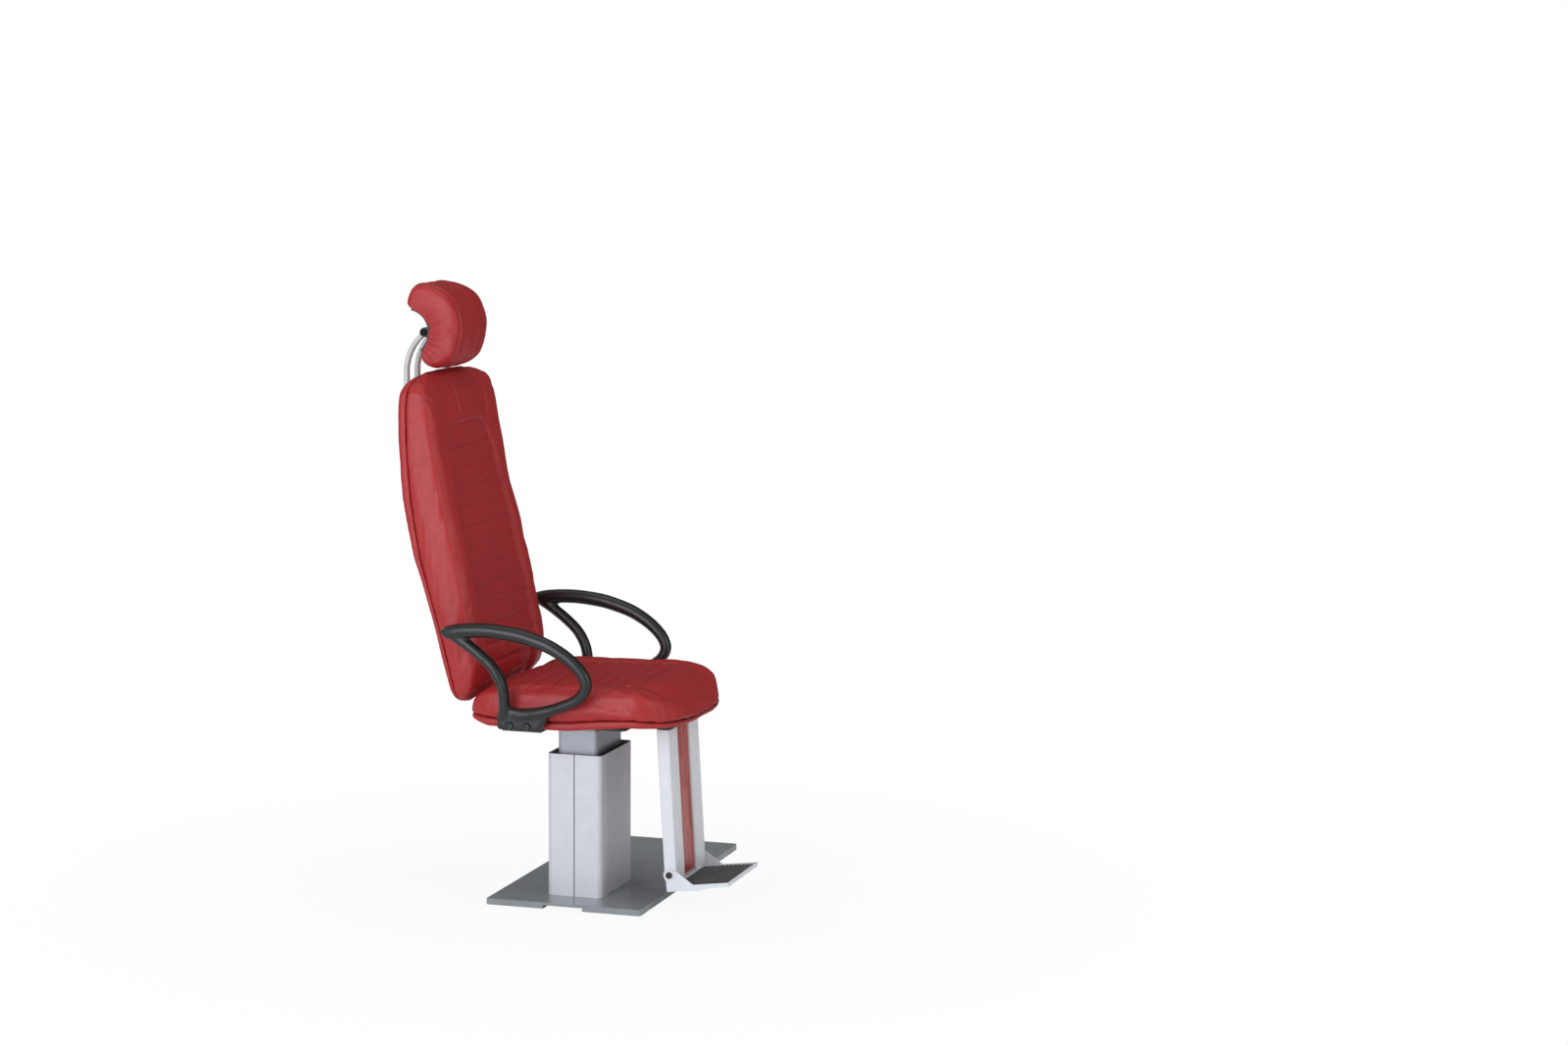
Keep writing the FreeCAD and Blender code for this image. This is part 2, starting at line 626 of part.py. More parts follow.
def guide_tube():
    """Fixed rectangular tube that the glide pads run in."""
    half_w, half_d = GUIDE_HALF_WIDTH, GUIDE_HALF_DEPTH
    corner = COVER_CORNER - COVER_WALL
    outer = rounded_prism(-half_w, half_w, -half_d, half_d, PLATE_THICK, cap_z() - REST_GAP, corner)
    half_w -= GUIDE_WALL
    half_d -= GUIDE_WALL
    inner = rounded_prism(-half_w, half_w, -half_d, half_d, PLATE_THICK - OVERRUN, COLUMN_TOP,
                          corner - GUIDE_WALL)
    return outer.cut(inner)


def guide_foot():
    """Foot plate inside the guide tube, with tapped holes."""
    half_w, half_d = GUIDE_HALF_WIDTH, GUIDE_HALF_DEPTH
    half_w -= GUIDE_WALL + REST_GAP
    half_d -= GUIDE_WALL + REST_GAP
    body = rounded_prism(-half_w, half_w, -half_d, half_d, PLATE_THICK, PLATE_THICK + FOOT_THICK,
                         COVER_CORNER - COVER_WALL - GUIDE_WALL)
    body = body.cut(cylinder(Vector(-CABLE_HOLE_X, 0, 0), Vector(0, 0, 1), CABLE_HOLE_RADIUS, COLUMN_TOP))
    for x, y in base_bolt_points():
        body = body.cut(cylinder(Vector(x, y, 0), Vector(0, 0, 1), BASE_BOLT_RADIUS + REST_GAP, COLUMN_TOP))
    return body


def glide_pads(z0, outer_gap, inner_gap):
    """Eight pads between guide tube and lift tube at one height."""
    half_w, half_d = GUIDE_HALF_WIDTH, GUIDE_HALF_DEPTH
    x_out = half_w - GUIDE_WALL - outer_gap
    x_in = LIFT_WIDTH / 2 + inner_gap
    y_out = half_d - GUIDE_WALL - outer_gap
    y_in = LIFT_DEPTH / 2 + inner_gap
    pads = []
    for sign in (-1, 1):
        for side in (-1, 1):
            y = side * PAD_SPREAD_Y
            x0, x1 = sorted((sign * x_in, sign * x_out))
            pads.append(box(x0, x1, y - PAD_WIDTH / 2, y + PAD_WIDTH / 2, z0, z0 + PAD_HEIGHT))
            x = side * PAD_SPREAD_X
            y0, y1 = sorted((sign * y_in, sign * y_out))
            pads.append(box(x - PAD_WIDTH / 2, x + PAD_WIDTH / 2, y0, y1, z0, z0 + PAD_HEIGHT))
    return pads


def drive():
    """Gearbox, motor, drive tube and push rod."""
    up = Vector(0, 0, 1)
    low = PLATE_THICK + FOOT_THICK
    top = low + GEARBOX_HEIGHT
    gearbox = rounded_prism(-GEARBOX_LENGTH / 2, GEARBOX_LENGTH / 2, -GEARBOX_DEPTH / 2, GEARBOX_DEPTH / 2,
                            low, top, GEARBOX_CORNER)
    motor = cylinder(Vector(MOTOR_X, 0, top), up, MOTOR_RADIUS, MOTOR_HEIGHT)
    cap = cylinder(Vector(MOTOR_X, 0, top + MOTOR_HEIGHT), up, MOTOR_CAP_RADIUS, MOTOR_CAP_HEIGHT)
    motor = motor.fuse(cap)
    tube = cylinder(Vector(DRIVE_X, 0, top), up, DRIVE_TUBE_RADIUS, DRIVE_TUBE_TOP - top)
    bore = Vector(DRIVE_X, 0, ROD_BOTTOM - REST_GAP)
    tube = tube.cut(cylinder(bore, up, ROD_RADIUS + RUNNING_GAP, DRIVE_TUBE_TOP))
    rod = cylinder(Vector(DRIVE_X, 0, ROD_BOTTOM), up, ROD_RADIUS, LIFT_TOP - ROD_BOTTOM)
    rod_end = Vector(DRIVE_X, 0, LIFT_TOP - ROD_END_HEIGHT)
    rod = rod.fuse(cylinder(rod_end, up, ROD_END_RADIUS, ROD_END_HEIGHT))
    return gearbox, motor, tube, rod


def lift_tube():
    """Bright rectangular tube that rises out of the column."""
    half_w = LIFT_WIDTH / 2
    half_d = LIFT_DEPTH / 2
    outer = rounded_prism(-half_w, half_w, -half_d, half_d, LIFT_BOTTOM, LIFT_TOP, LIFT_CORNER)
    inner = rounded_prism(-half_w + LIFT_WALL, half_w - LIFT_WALL, -half_d + LIFT_WALL, half_d - LIFT_WALL,
                          LIFT_BOTTOM - OVERRUN, LIFT_TOP + OVERRUN, LIFT_CORNER - LIFT_WALL)
    return outer.cut(inner)


def lift_plate_top():
    return LIFT_TOP + LIFT_PLATE_THICK


def lift_top_plate():
    """Plate on the lift tube, bored for the swivel pivot."""
    half_w = LIFT_WIDTH / 2
    half_d = LIFT_DEPTH / 2
    body = rounded_prism(-half_w, half_w, -half_d, half_d, LIFT_TOP, lift_plate_top(), LIFT_CORNER)
    return body.cut(cylinder(Vector(0, 0, LIFT_TOP - OVERRUN), Vector(0, 0, 1), PIVOT_RADIUS + RUNNING_GAP,
                             LIFT_PLATE_THICK + 2 * OVERRUN))


def swivel_levels():
    """Heights of the ring, disc, seat plate, hub and nut."""
    ring_low = lift_plate_top()
    ring_high = ring_low + SWIVEL_RING_THICK
    disc_high = ring_high + SWIVEL_DISC_THICK
    plate_low = disc_high + REST_GAP
    plate_high = plate_low + SEAT_PLATE_THICK
    hub_high = plate_high + HUB_HEIGHT
    return ring_low, ring_high, disc_high, plate_low, plate_high, hub_high


def swivel_parts():
    """Lower ring, thrust disc, pivot pin and retaining nut."""
    ring_low, ring_high, disc_high, plate_low, plate_high, hub_high = swivel_levels()
    lower = ring(SWIVEL_RING_RADIUS, PIVOT_RADIUS + RUNNING_GAP, ring_low, ring_high)
    disc = ring(SWIVEL_DISC_RADIUS, PIVOT_RADIUS + RUNNING_GAP, ring_high, disc_high)
    nut_low = hub_high + REST_GAP
    nut_top = nut_low + NUT_HEIGHT
    up = Vector(0, 0, 1)
    pin = cylinder(Vector(0, 0, LIFT_TOP - PIVOT_DROP), up, PIVOT_RADIUS, nut_top - LIFT_TOP + PIVOT_DROP)
    flange = cylinder(Vector(0, 0, LIFT_TOP - PIVOT_DROP), up, PIVOT_FLANGE_RADIUS, PIVOT_DROP)
    pin = pin.fuse(flange)
    nut = hex_prism(Vector(0, 0, nut_low), up, NUT_RADIUS, NUT_HEIGHT)
    nut = nut.cut(cylinder(Vector(0, 0, 0), up, PIVOT_RADIUS + RUNNING_GAP, nut_top + OVERRUN))
    return lower, disc, pin, nut


def seat_plate():
    """Plate that turns on the pivot, with its hub."""
    plate_low, plate_high, hub_high = swivel_levels()[3:]
    body = rounded_prism(-SEAT_PLATE_WIDTH / 2, SEAT_PLATE_WIDTH / 2, -SEAT_PLATE_FRONT, SEAT_PLATE_REAR,
                         plate_low, plate_high, SEAT_PLATE_CORNER)
    up = Vector(0, 0, 1)
    body = body.fuse(cylinder(Vector(0, 0, plate_low), up, HUB_RADIUS, hub_high - plate_low))
    for x, y, top in plate_screw_seats():
        body = body.cut(flat_screw(x, y, top, REST_GAP))
    for hole in shell_screws(True)[:4]:
        body = body.cut(hole)
    return body.cut(cylinder(Vector(0, 0, 0), up, PIVOT_RADIUS + RUNNING_GAP, hub_high + OVERRUN))


def seat_rails():
    """Two flat rails between the seat plate and the shell."""
    plate_high = swivel_levels()[4]
    rails = []
    for sign in (-1, 1):
        x = sign * RAIL_CENTRE
        rail = box(x - RAIL_WIDTH / 2, x + RAIL_WIDTH / 2, -RAIL_FRONT, RAIL_REAR, plate_high, SEAT_BOTTOM)
        for hole in shell_screws(True)[:4]:
            rail = rail.cut(hole)
        rails.append(rail)
    return rails


def flat_screw(x, y, top, gap):
    """Countersunk screw with its head level at the top; gap widens it into its hole."""
    down = Vector(0, 0, -1)
    cone = FLAT_SCREW_HEAD_RADIUS - FLAT_SCREW_RADIUS
    start = Vector(x, y, top + gap)
    head = Part.makeCone(FLAT_SCREW_HEAD_RADIUS + gap, FLAT_SCREW_RADIUS + gap, cone, start, down)
    body = head.fuse(cylinder(start, down, FLAT_SCREW_RADIUS + gap, FLAT_SCREW_LENGTH + gap + gap))
    if gap:
        return body
    socket = hex_prism(start, down, FLAT_SCREW_RADIUS * PAD_SHOULDER_SHARE, FLAT_SCREW_HEX)
    return body.cut(socket)


def plate_screw_seats():
    """Screws through the hanger plate, then those through the back bar."""
    plate_high = swivel_levels()[4]
    seats = [(sx * HANGER_SCREW_X, y, plate_high + HANGER_THICK) for sx in (-1, 1) for y in HANGER_SCREW_Y]
    seats.extend((sx * BAR_SCREW_X, y, plate_high + BAR_THICK) for sx in (-1, 1) for y in BAR_SCREW_Y)
    return seats


def shell_screws(as_holes):
    """Cap screws from below into the seat board: four through the rails, four through the arm angles."""
    up = Vector(0, 0, 1)
    tip = SEAT_BOTTOM + SHELL_FLOOR + SHELL_SCREW_BITE
    plate_low = swivel_levels()[3]
    angle_low = SEAT_BOTTOM - REST_GAP - ANGLE_THICK
    y0 = ARM_BLOCK_RAKE - ARM_BLOCK_FRONT + ANGLE_MARGIN + ANGLE_SCREW_INSET
    y1 = ARM_BLOCK_REAR - ANGLE_MARGIN - ANGLE_SCREW_INSET
    seats = [(sx * RAIL_CENTRE, y, plate_low) for sx in (-1, 1) for y in RAIL_SCREW_Y]
    seats.extend((sx * ANGLE_SCREW_X, y, angle_low) for sx in (-1, 1) for y in (y0, y1))
    result = []
    for x, y, low in seats:
        seat = Vector(x, y, low)
        if as_holes:
            result.append(cylinder(seat - up * OVERRUN, up, SHELL_SCREW_RADIUS + REST_GAP,
                                   tip - low + OVERRUN + REST_GAP))
        else:
            result.append(socket_screw(seat, up * -1, SHELL_SCREW_HEAD_RADIUS, SHELL_SCREW_HEAD,
                                       SHELL_SCREW_RADIUS, tip - low))
    return result


# Padded forms


def arc(a, b, c):
    """Edge through three points."""
    return Part.Arc(a, b, c).toShape()


def pad_wire(place, half, rise, panel_half, panel_rise, crown, draw, shoulder):
    """Section of a cushion: flat base, bulging sides, shoulders and a crowned middle panel."""
    low_r = place(half - draw, 0)
    low_l = place(draw - half, 0)
    top = rise * PAD_SHOULDER_SHARE
    out_r = place(half - shoulder * (1 - PAD_SHOULDER_SHARE), top)
    out_l = place(shoulder * (1 - PAD_SHOULDER_SHARE) - half, top)
    side_r = place(half, rise * PAD_SIDE_SHARE)
    side_l = place(-half, rise * PAD_SIDE_SHARE)
    edge_r = place(panel_half, panel_rise)
    edge_l = place(-panel_half, panel_rise)
    mid = lerp(panel_half, half, PAD_SIDE_SHARE)
    hump_r = place(mid, rise)
    hump_l = place(-mid, rise)
    edges = [
        Part.makeLine(low_l, low_r),
        arc(low_r, side_r, out_r),
        arc(out_r, hump_r, edge_r),
        arc(edge_r, place(0, panel_rise + crown), edge_l),
        arc(edge_l, hump_l, out_l),
        arc(out_l, side_l, low_l),
    ]
    return Part.Wire(edges)


def strip_wire(place, half, low, high):
    """Flat section of a board."""
    points = [place(-half, low), place(half, low), place(half, high), place(-half, high)]
    return Part.makePolygon(points + [points[0]])


def loft(wires):
    """Ruled solid through closed sections."""
    return Part.makeLoft(wires, True, True)


def table_at(table, share):
    """Row of a table of shares at one place, between its knots."""
    for low, high in zip(table, table[1:]):
        if share <= high[0]:
            t = (share - low[0]) / (high[0] - low[0])
            return tuple(lerp(a, b, t) for a, b in zip(low, high))
    return table[-1]


def seat_station(share):
    """Depth, half width, top, seam and bottom heights at one share of the seat's depth."""
    row = table_at(SEAT_SHARES, share)
    y = SEAT_REAR - share * (SEAT_REAR + SEAT_FRONT)
    half = SEAT_HALF_WIDTH * row[1]
    seam = SEAT_BOTTOM + SEAT_SEAM_RISE + SEAT_WAVE * row[3]
    top = SEAT_BOTTOM + SEAT_SEAM_RISE + SEAT_THICK * row[2]
    low = SEAT_BOTTOM + SEAT_WAVE * row[4]
    return y, half, top, seam, low


def seat_place(y, base):
    return lambda a, n: Vector(a, y, base + n)


def seat_cushion():
    """Cushion with a rolled front, a sunk middle panel and sewn cross lines."""
    depth = SEAT_REAR + SEAT_FRONT
    lines = [(SEAT_REAR - SEAT_LINE_FIRST + i * SEAT_LINE_PITCH) / depth for i in range(SEAT_LINE_COUNT)]
    shares = set(row[0] for row in SEAT_SHARES)
    shares.update(lines)
    shares.update((a + b) / 2 for a, b in zip(lines, lines[1:]))
    shares = sorted(shares)
    wires = []
    for share in shares:
        y, half, top, seam, low = seat_station(share)
        base = seam + REST_GAP
        rise = top - base
        full = SEAT_THICK - (seam - SEAT_BOTTOM - SEAT_SEAM_RISE)
        sink = SEAT_PANEL_SINK * rise / full
        crown = SEAT_PANEL_CROWN
        if share in lines:
            sink += SEAT_LINE_DEPTH / 2
            crown -= SEAT_LINE_DEPTH / 2
        panel = min(SEAT_PANEL_HALF, half - 2 * SEAT_SHOULDER * rise / full)
        wires.append(pad_wire(seat_place(y, base), half, rise, panel, rise - sink, crown,
                              SEAT_DRAW * rise / full, SEAT_SHOULDER))
    return loft(wires)


def seat_shell_and_board():
    """Lower shell as an open tray with a rolled rim, and the board inside it."""
    outer, hollow, board = [], [], []
    for row in SEAT_SHARES:
        y, half, top, seam, low = seat_station(row[0])
        place = seat_place(y, 0)
        rim = seam - low
        side = lerp(low, seam, PAD_SIDE_SHARE)
        foot = half - SHELL_DRAW
        wide = half - SHELL_DRAW / 8
        lip = half - SHELL_DRAW / 2
        edges = [
            Part.makeLine(place(-foot, low), place(foot, low)),
            arc(place(foot, low), place(wide, side), place(lip, seam)),
            Part.makeLine(place(lip, seam), place(-lip, seam)),
            arc(place(-lip, seam), place(-wide, side), place(-foot, low)),
        ]
        outer.append(Part.Wire(edges))
        inner_half = half - SHELL_DRAW - SHELL_WALL
        floor = low + min(SHELL_FLOOR, rim / 2)
        end = min(share_inside(row[0]), 1)
        if end:
            hollow.append(strip_wire(place, inner_half, floor, seam + OVERRUN))
            board.append(strip_wire(place, inner_half - REST_GAP, floor + REST_GAP, seam))
    shell = loft(outer).cut(loft(hollow))
    opening = cylinder(Vector(0, 0, 0), Vector(0, 0, 1), NUT_RADIUS + OVERRUN, BACK_BOTTOM)
    shell = shell.cut(opening)
    board_body = loft(board)
    for hole in shell_screws(True):
        shell = shell.cut(hole)
        board_body = board_body.cut(hole)
    trim_rear = SEAT_REAR - (SEAT_REAR + SEAT_FRONT) * SEAT_SHARES[1][0] - REST_GAP
    trim_front = SEAT_REAR - (SEAT_REAR + SEAT_FRONT) * SEAT_SHARES[-2][0] + REST_GAP
    board_body = board_body.common(box(-SEAT_HALF_WIDTH, SEAT_HALF_WIDTH, trim_front, trim_rear, 0, BACK_TOP))
    return shell, board_body.cut(opening.common(box(-SEAT_HALF_WIDTH, SEAT_HALF_WIDTH, -SEAT_FRONT, SEAT_REAR,
                                                    0, nut_room_top())))


def share_inside(share):
    """One for a station between the shell's end walls, else zero."""
    return 1 if SEAT_SHARES[0][0] < share < SEAT_SHARES[-1][0] else 0


def nut_room_top():
    return swivel_levels()[5] + 2 * REST_GAP + NUT_HEIGHT


def back_knot(share):
    """Height, rear joint, half width, cushion and cover thickness at one share of the back's height."""
    row = table_at(BACK_SHARES, share)
    z = BACK_BOTTOM + share * (BACK_TOP - BACK_BOTTOM)
    joint = BACK_ROOT + BACK_LEAN * row[1]
    return z, joint, BACK_HALF_WIDTH * row[2], BACK_THICK * row[3], BACK_COVER_THICK * row[4]


def back_place(z, joint, sign):
    return lambda a, n: Vector(a, joint + sign * n, z)


def back_cushion():
    """Cushion with side bolsters, an inverted-U panel and sewn cross lines."""
    knots = [row[0] for row in BACK_SHARES]
    lines = knots[LINE_SKIP_COUNT:LINE_SKIP_COUNT + LINE_COUNT]
    shares = sorted(set(knots + [(a + b) / 2 for a, b in zip(lines, lines[1:])]))
    wires = []
    for share in shares:
        z, joint, half, thick, cover = back_knot(share)
        rise = thick - BACK_BOARD_THICK / 2 - REST_GAP
        if share <= BACK_PANEL_TOP_SHARE:
            narrow = lerp(BACK_PANEL_SHARES[1], BACK_PANEL_SHARES[0], share / BACK_PANEL_TOP_SHARE)
            sink = BACK_PANEL_SINK
        else:
            narrow = BACK_PANEL_SHARES[0] * (half / BACK_HALF_WIDTH)
            sink = BACK_PANEL_SINK / 4
        panel = BACK_PANEL_HALF * narrow
        sink *= rise / BACK_THICK
        crown = BACK_PANEL_CROWN
        if share in lines:
            sink += BACK_LINE_DEPTH / 2
            crown -= BACK_LINE_DEPTH / 2
        place = back_place(z, joint - BACK_BOARD_THICK / 2 - REST_GAP, -1)
        wires.append(pad_wire(place, half, rise, panel, rise - sink, crown, BACK_DRAW, BACK_SHOULDER))
    return loft(wires)


def back_board():
    """Curved board between cushion and cover."""
    wires = []
    for row in BACK_SHARES[1:-1]:
        z, joint, half, thick, cover = back_knot(row[0])
        place = back_place(z, joint, 1)
        wires.append(strip_wire(place, half - BACK_BOARD_INSET - BACK_DRAW, -BACK_BOARD_THICK / 2,
                                BACK_BOARD_THICK / 2))
    return loft(wires)


def cover_rear(share):
    """Rear face of the cover on the middle line at one share of the height."""
    z, joint, half, thick, cover = back_knot(share)
    return joint + cover + BACK_COVER_CROWN * (cover / BACK_COVER_THICK)


def back_cover():
    """Rear cover with a rolled rim and a flat middle."""
    wires = []
    for row in BACK_SHARES:
        z, joint, half, thick, cover = back_knot(row[0])
        base = joint + BACK_BOARD_THICK / 2 + REST_GAP
        place = back_place(z, base, 1)
        rise = cover - BACK_BOARD_THICK / 2 - REST_GAP
        middle = cover_rear(row[0]) - base
        edge = rise * COVER_EDGE_SHARE
        rim = half - BACK_DRAW
        flat = BACK_COVER_FLAT * (half / BACK_HALF_WIDTH)
        mid = lerp(flat, rim, PAD_SIDE_SHARE)
        hump = lerp(middle, edge, COVER_HUMP_SHARE)
        low = half - BACK_DRAW * PAD_SIDE_SHARE
        edges = [
            Part.makeLine(place(-low, 0), place(low, 0)),
            arc(place(low, 0), place(half, edge * PAD_SIDE_SHARE), place(rim, edge)),
            arc(place(rim, edge), place(mid, hump), place(flat, middle)),
            Part.makeLine(place(flat, middle), place(-flat, middle)),
            arc(place(-flat, middle), place(-mid, hump), place(-rim, edge)),
            arc(place(-rim, edge), place(-half, edge * PAD_SIDE_SHARE), place(-low, 0)),
        ]
        wires.append(Part.Wire(edges))
    return loft(wires)


# Bar that carries the back


def share_of_height(z):
    return (z - BACK_BOTTOM) / (BACK_TOP - BACK_BOTTOM)


def bar_line():
    """Lean line of the bar behind the cover: points at its bolts, clear of the cover between them."""
    low = Vector(0, cover_rear(share_of_height(BAR_BOLT_LOW_Z)), BAR_BOLT_LOW_Z)
    high = Vector(0, cover_rear(share_of_height(BAR_TOP_Z)), BAR_TOP_Z)
    slope = (high.y - low.y) / (high.z - low.z)
    proud = REST_GAP
    for row in BACK_SHARES:
        z = back_knot(row[0])[0]
        if BACK_BOTTOM <= z <= BAR_TOP_Z:
            proud = max(proud, cover_rear(row[0]) - low.y - slope * (z - low.z) + REST_GAP)
    return low.y + proud, slope


def bar_inner_y(z):
    """Front face of the bar at a height."""
    y, slope = bar_line()
    return y + slope * (z - BAR_BOLT_LOW_Z)


def back_bar():
    """Flat bar bent up behind the seat."""
    plate_high = swivel_levels()[4]
    slope = bar_line()[1]
    lean = math.atan(slope)
    turn = math.pi / 2 - lean
    low_z = plate_high
    top_z = plate_high + BAR_THICK
    corner = Vector(0, bar_inner_y(top_z), top_z)
    run = BAR_BEND * math.tan(turn / 2)
    up = Vector(0, math.sin(lean), math.cos(lean))
    out = Vector(0, math.cos(lean), -math.sin(lean))
    centre = corner + Vector(0, -run, BAR_BEND)
    half_dir = Vector(0, math.sin(turn / 2), -math.cos(turn / 2))
    big = BAR_BEND + BAR_THICK
    a0 = Vector(0, BAR_FRONT_Y, top_z)
    a1 = corner - Vector(0, run, 0)
    a2 = centre + half_dir * BAR_BEND
    a3 = corner + up * run
    a4 = corner + up * ((BAR_TOP_Z - top_z) / math.cos(lean))
    b4 = a4 + out * BAR_THICK
    b3 = centre + out * big
    b2 = centre + half_dir * big
    b1 = centre - Vector(0, 0, big)
    b0 = Vector(0, BAR_FRONT_Y, low_z)
    edges = [
        Part.makeLine(a0, a1), arc(a1, a2, a3), Part.makeLine(a3, a4), Part.makeLine(a4, b4),
        Part.makeLine(b4, b3), arc(b3, b2, b1), Part.makeLine(b1, b0), Part.makeLine(b0, a0),
    ]
    face = Part.Face(Part.Wire(edges))
    face.translate(Vector(-BAR_WIDTH / 2, 0, 0))
    return face.extrude(Vector(BAR_WIDTH, 0, 0))


def bar_bolts():
    """Four bolts through the bar into the back, two into the seat plate from above."""
    lean = math.atan(bar_line()[1])
    out = Vector(0, math.cos(lean), -math.sin(lean))
    bolts, holes = [], []
    for z in (BAR_BOLT_LOW_Z, BAR_BOLT_HIGH_Z):
        for sign in (-1, 1):
            seat = Vector(sign * BAR_BOLT_SPREAD, bar_inner_y(z), z) + out * BAR_THICK
            bolts.append(socket_screw(seat, out, BAR_BOLT_HEAD_RADIUS, BAR_BOLT_HEAD, BAR_BOLT_RADIUS,
                                      BAR_BOLT_SINK))
            holes.append(cylinder(seat - out * (BAR_BOLT_SINK + REST_GAP), out, BAR_BOLT_RADIUS + REST_GAP,
                                  BAR_BOLT_SINK + OVERRUN))
    return bolts, holes


# Armrests


def arm_point(y_share, z_share):
    """Centre of the arm tube; it flares out towards the front and the top."""
    y = lerp(-ARM_FRONT, ARM_REAR, y_share)
    z = lerp(ARM_LOW, ARM_HIGH, z_share)
    flare = min(1, max(0, z_share)) ** PAD_SIDE_SHARE
    return Vector(lerp(ARM_FOOT_X, ARM_TIP_X, flare), y, z)


def tube_loft(points, radii):
    """Ruled tube through oval sections square to its path in the side view."""
    wires = []
    befores = points[:1] + points
    afters = points[1:] + points[-1:]
    for before, centre, after, (wide, high) in zip(befores, points, afters, radii):
        along = after - before
        along.x = 0
        along.normalize()
        across = Vector(1, 0, 0)
        normal = across.cross(along)
        oval = Part.Ellipse(centre + across * wide, centre + normal * high, centre)
        wires.append(Part.Wire(oval.toShape()))
    return loft(wires)


def arm():
    """Left armrest: loop, rear strut and foot block in one moulding."""
    points = [arm_point(row[0], row[1]) for row in ARM_SHARES]
    radii = [(ARM_HALF_WIDTH * row[2], ARM_HALF_HEIGHT * row[3]) for row in ARM_SHARES]
    loop = tube_loft(points, radii)
    strut_points = [arm_point(row[0], row[1]) for row in STRUT_SHARES]
    strut = tube_loft(strut_points, [(STRUT_HALF_WIDTH, STRUT_HALF_HEIGHT)] * len(strut_points))
    x0 = ARM_FOOT_X - ARM_BLOCK_THICK / 2
    outline = [
        Vector(x0, -ARM_BLOCK_FRONT, ARM_BLOCK_TOP - ARM_SCREW_RISE),
        Vector(x0, ARM_BLOCK_RAKE - ARM_BLOCK_FRONT, ARM_BLOCK_BOTTOM),
        Vector(x0, ARM_BLOCK_REAR - ARM_BLOCK_BEVEL, ARM_BLOCK_BOTTOM),
        Vector(x0, ARM_BLOCK_REAR, ARM_BLOCK_BOTTOM + ARM_BLOCK_BEVEL),
        Vector(x0, ARM_BLOCK_REAR - ARM_BLOCK_BEVEL, ARM_BLOCK_TOP),
        Vector(x0, ARM_BLOCK_RAKE, ARM_BLOCK_TOP),
    ]
    block = closed_face(outline).extrude(Vector(ARM_BLOCK_THICK, 0, 0))
    outer = [e for e in block.Edges if min(v.X for v in e.Vertexes) > x0 + ARM_BLOCK_THICK - REST_GAP]
    block = block.makeFillet(ARM_BLOCK_BEVEL, outer)
    body = loop.fuse(strut).fuse(block)
    for seat, out in arm_screw_seats():
        body = body.cut(cylinder(seat - out * ARM_BLOCK_THICK * 2, out, ARM_SCREW_RADIUS + REST_GAP,
                                 ARM_BLOCK_THICK * 3))
        body = body.cut(cylinder(seat, out, ARM_SCREW_HEAD_RADIUS + REST_GAP, ARM_BLOCK_THICK))
    return body


def arm_screw_seats():
    """Seats of the two arm screws and the way their heads point."""
    x = ARM_FOOT_X + ARM_BLOCK_THICK / 2 - ARM_SCREW_HEAD
    z = ARM_BLOCK_BOTTOM + ARM_SCREW_RISE
    out = Vector(1, 0, 0)
    return [(Vector(x, ARM_SCREW_FIRST_Y + i * ARM_SCREW_PITCH, z), out) for i in range(2)]


def arm_screws():
    shank = ARM_BLOCK_THICK - ARM_SCREW_HEAD + REST_GAP + ANGLE_THICK
    return [socket_screw(seat, out, ARM_SCREW_HEAD_RADIUS, ARM_SCREW_HEAD, ARM_SCREW_RADIUS, shank)
            for seat, out in arm_screw_seats()]


def arm_angle():
    """Steel angle under the shell that holds the left arm."""
    x1 = ARM_FOOT_X - ARM_BLOCK_THICK / 2 - REST_GAP
    x0 = ANGLE_INNER_X
    y0 = ARM_BLOCK_RAKE - ARM_BLOCK_FRONT + ANGLE_MARGIN
    y1 = ARM_BLOCK_REAR - ANGLE_MARGIN
    top = SEAT_BOTTOM - REST_GAP
    low = top - ANGLE_THICK
    flange = box(x0, x1, y0, y1, low, top)
    web = box(x1 - ANGLE_THICK, x1, y0, y1, low, low + ANGLE_RISE)
    body = flange.fuse(web).removeSplitter()
    for hole in shell_screws(True)[4:]:
        body = body.cut(hole)
    for seat, out in arm_screw_seats():
        body = body.cut(cylinder(seat - out * ARM_BLOCK_THICK * 2, out, ARM_SCREW_RADIUS + REST_GAP,
                                 ARM_BLOCK_THICK * 3))
    return body


# Footrest


def foot_top():
    """Height where the uprights meet the hanger plate."""
    return swivel_levels()[4]


def foot_frame(shape):
    """Turn an upright footrest piece to its lean about the top of the front face line."""
    turned = shape.copy()
    turned.rotate(Vector(0, -PEDAL_AXIS_Y, PEDAL_AXIS_Z), Vector(1, 0, 0), -FOOT_LEAN_DEG)
    return turned


def foot_trim(shape):
    """Cut the leaning piece level at the top and the bottom."""
    span = 2 * FOOT_HALF_WIDTH
    return shape.common(box(-span, span, -PEDAL_FRONT_Y, 0, FOOT_BOTTOM_Z, foot_top()))


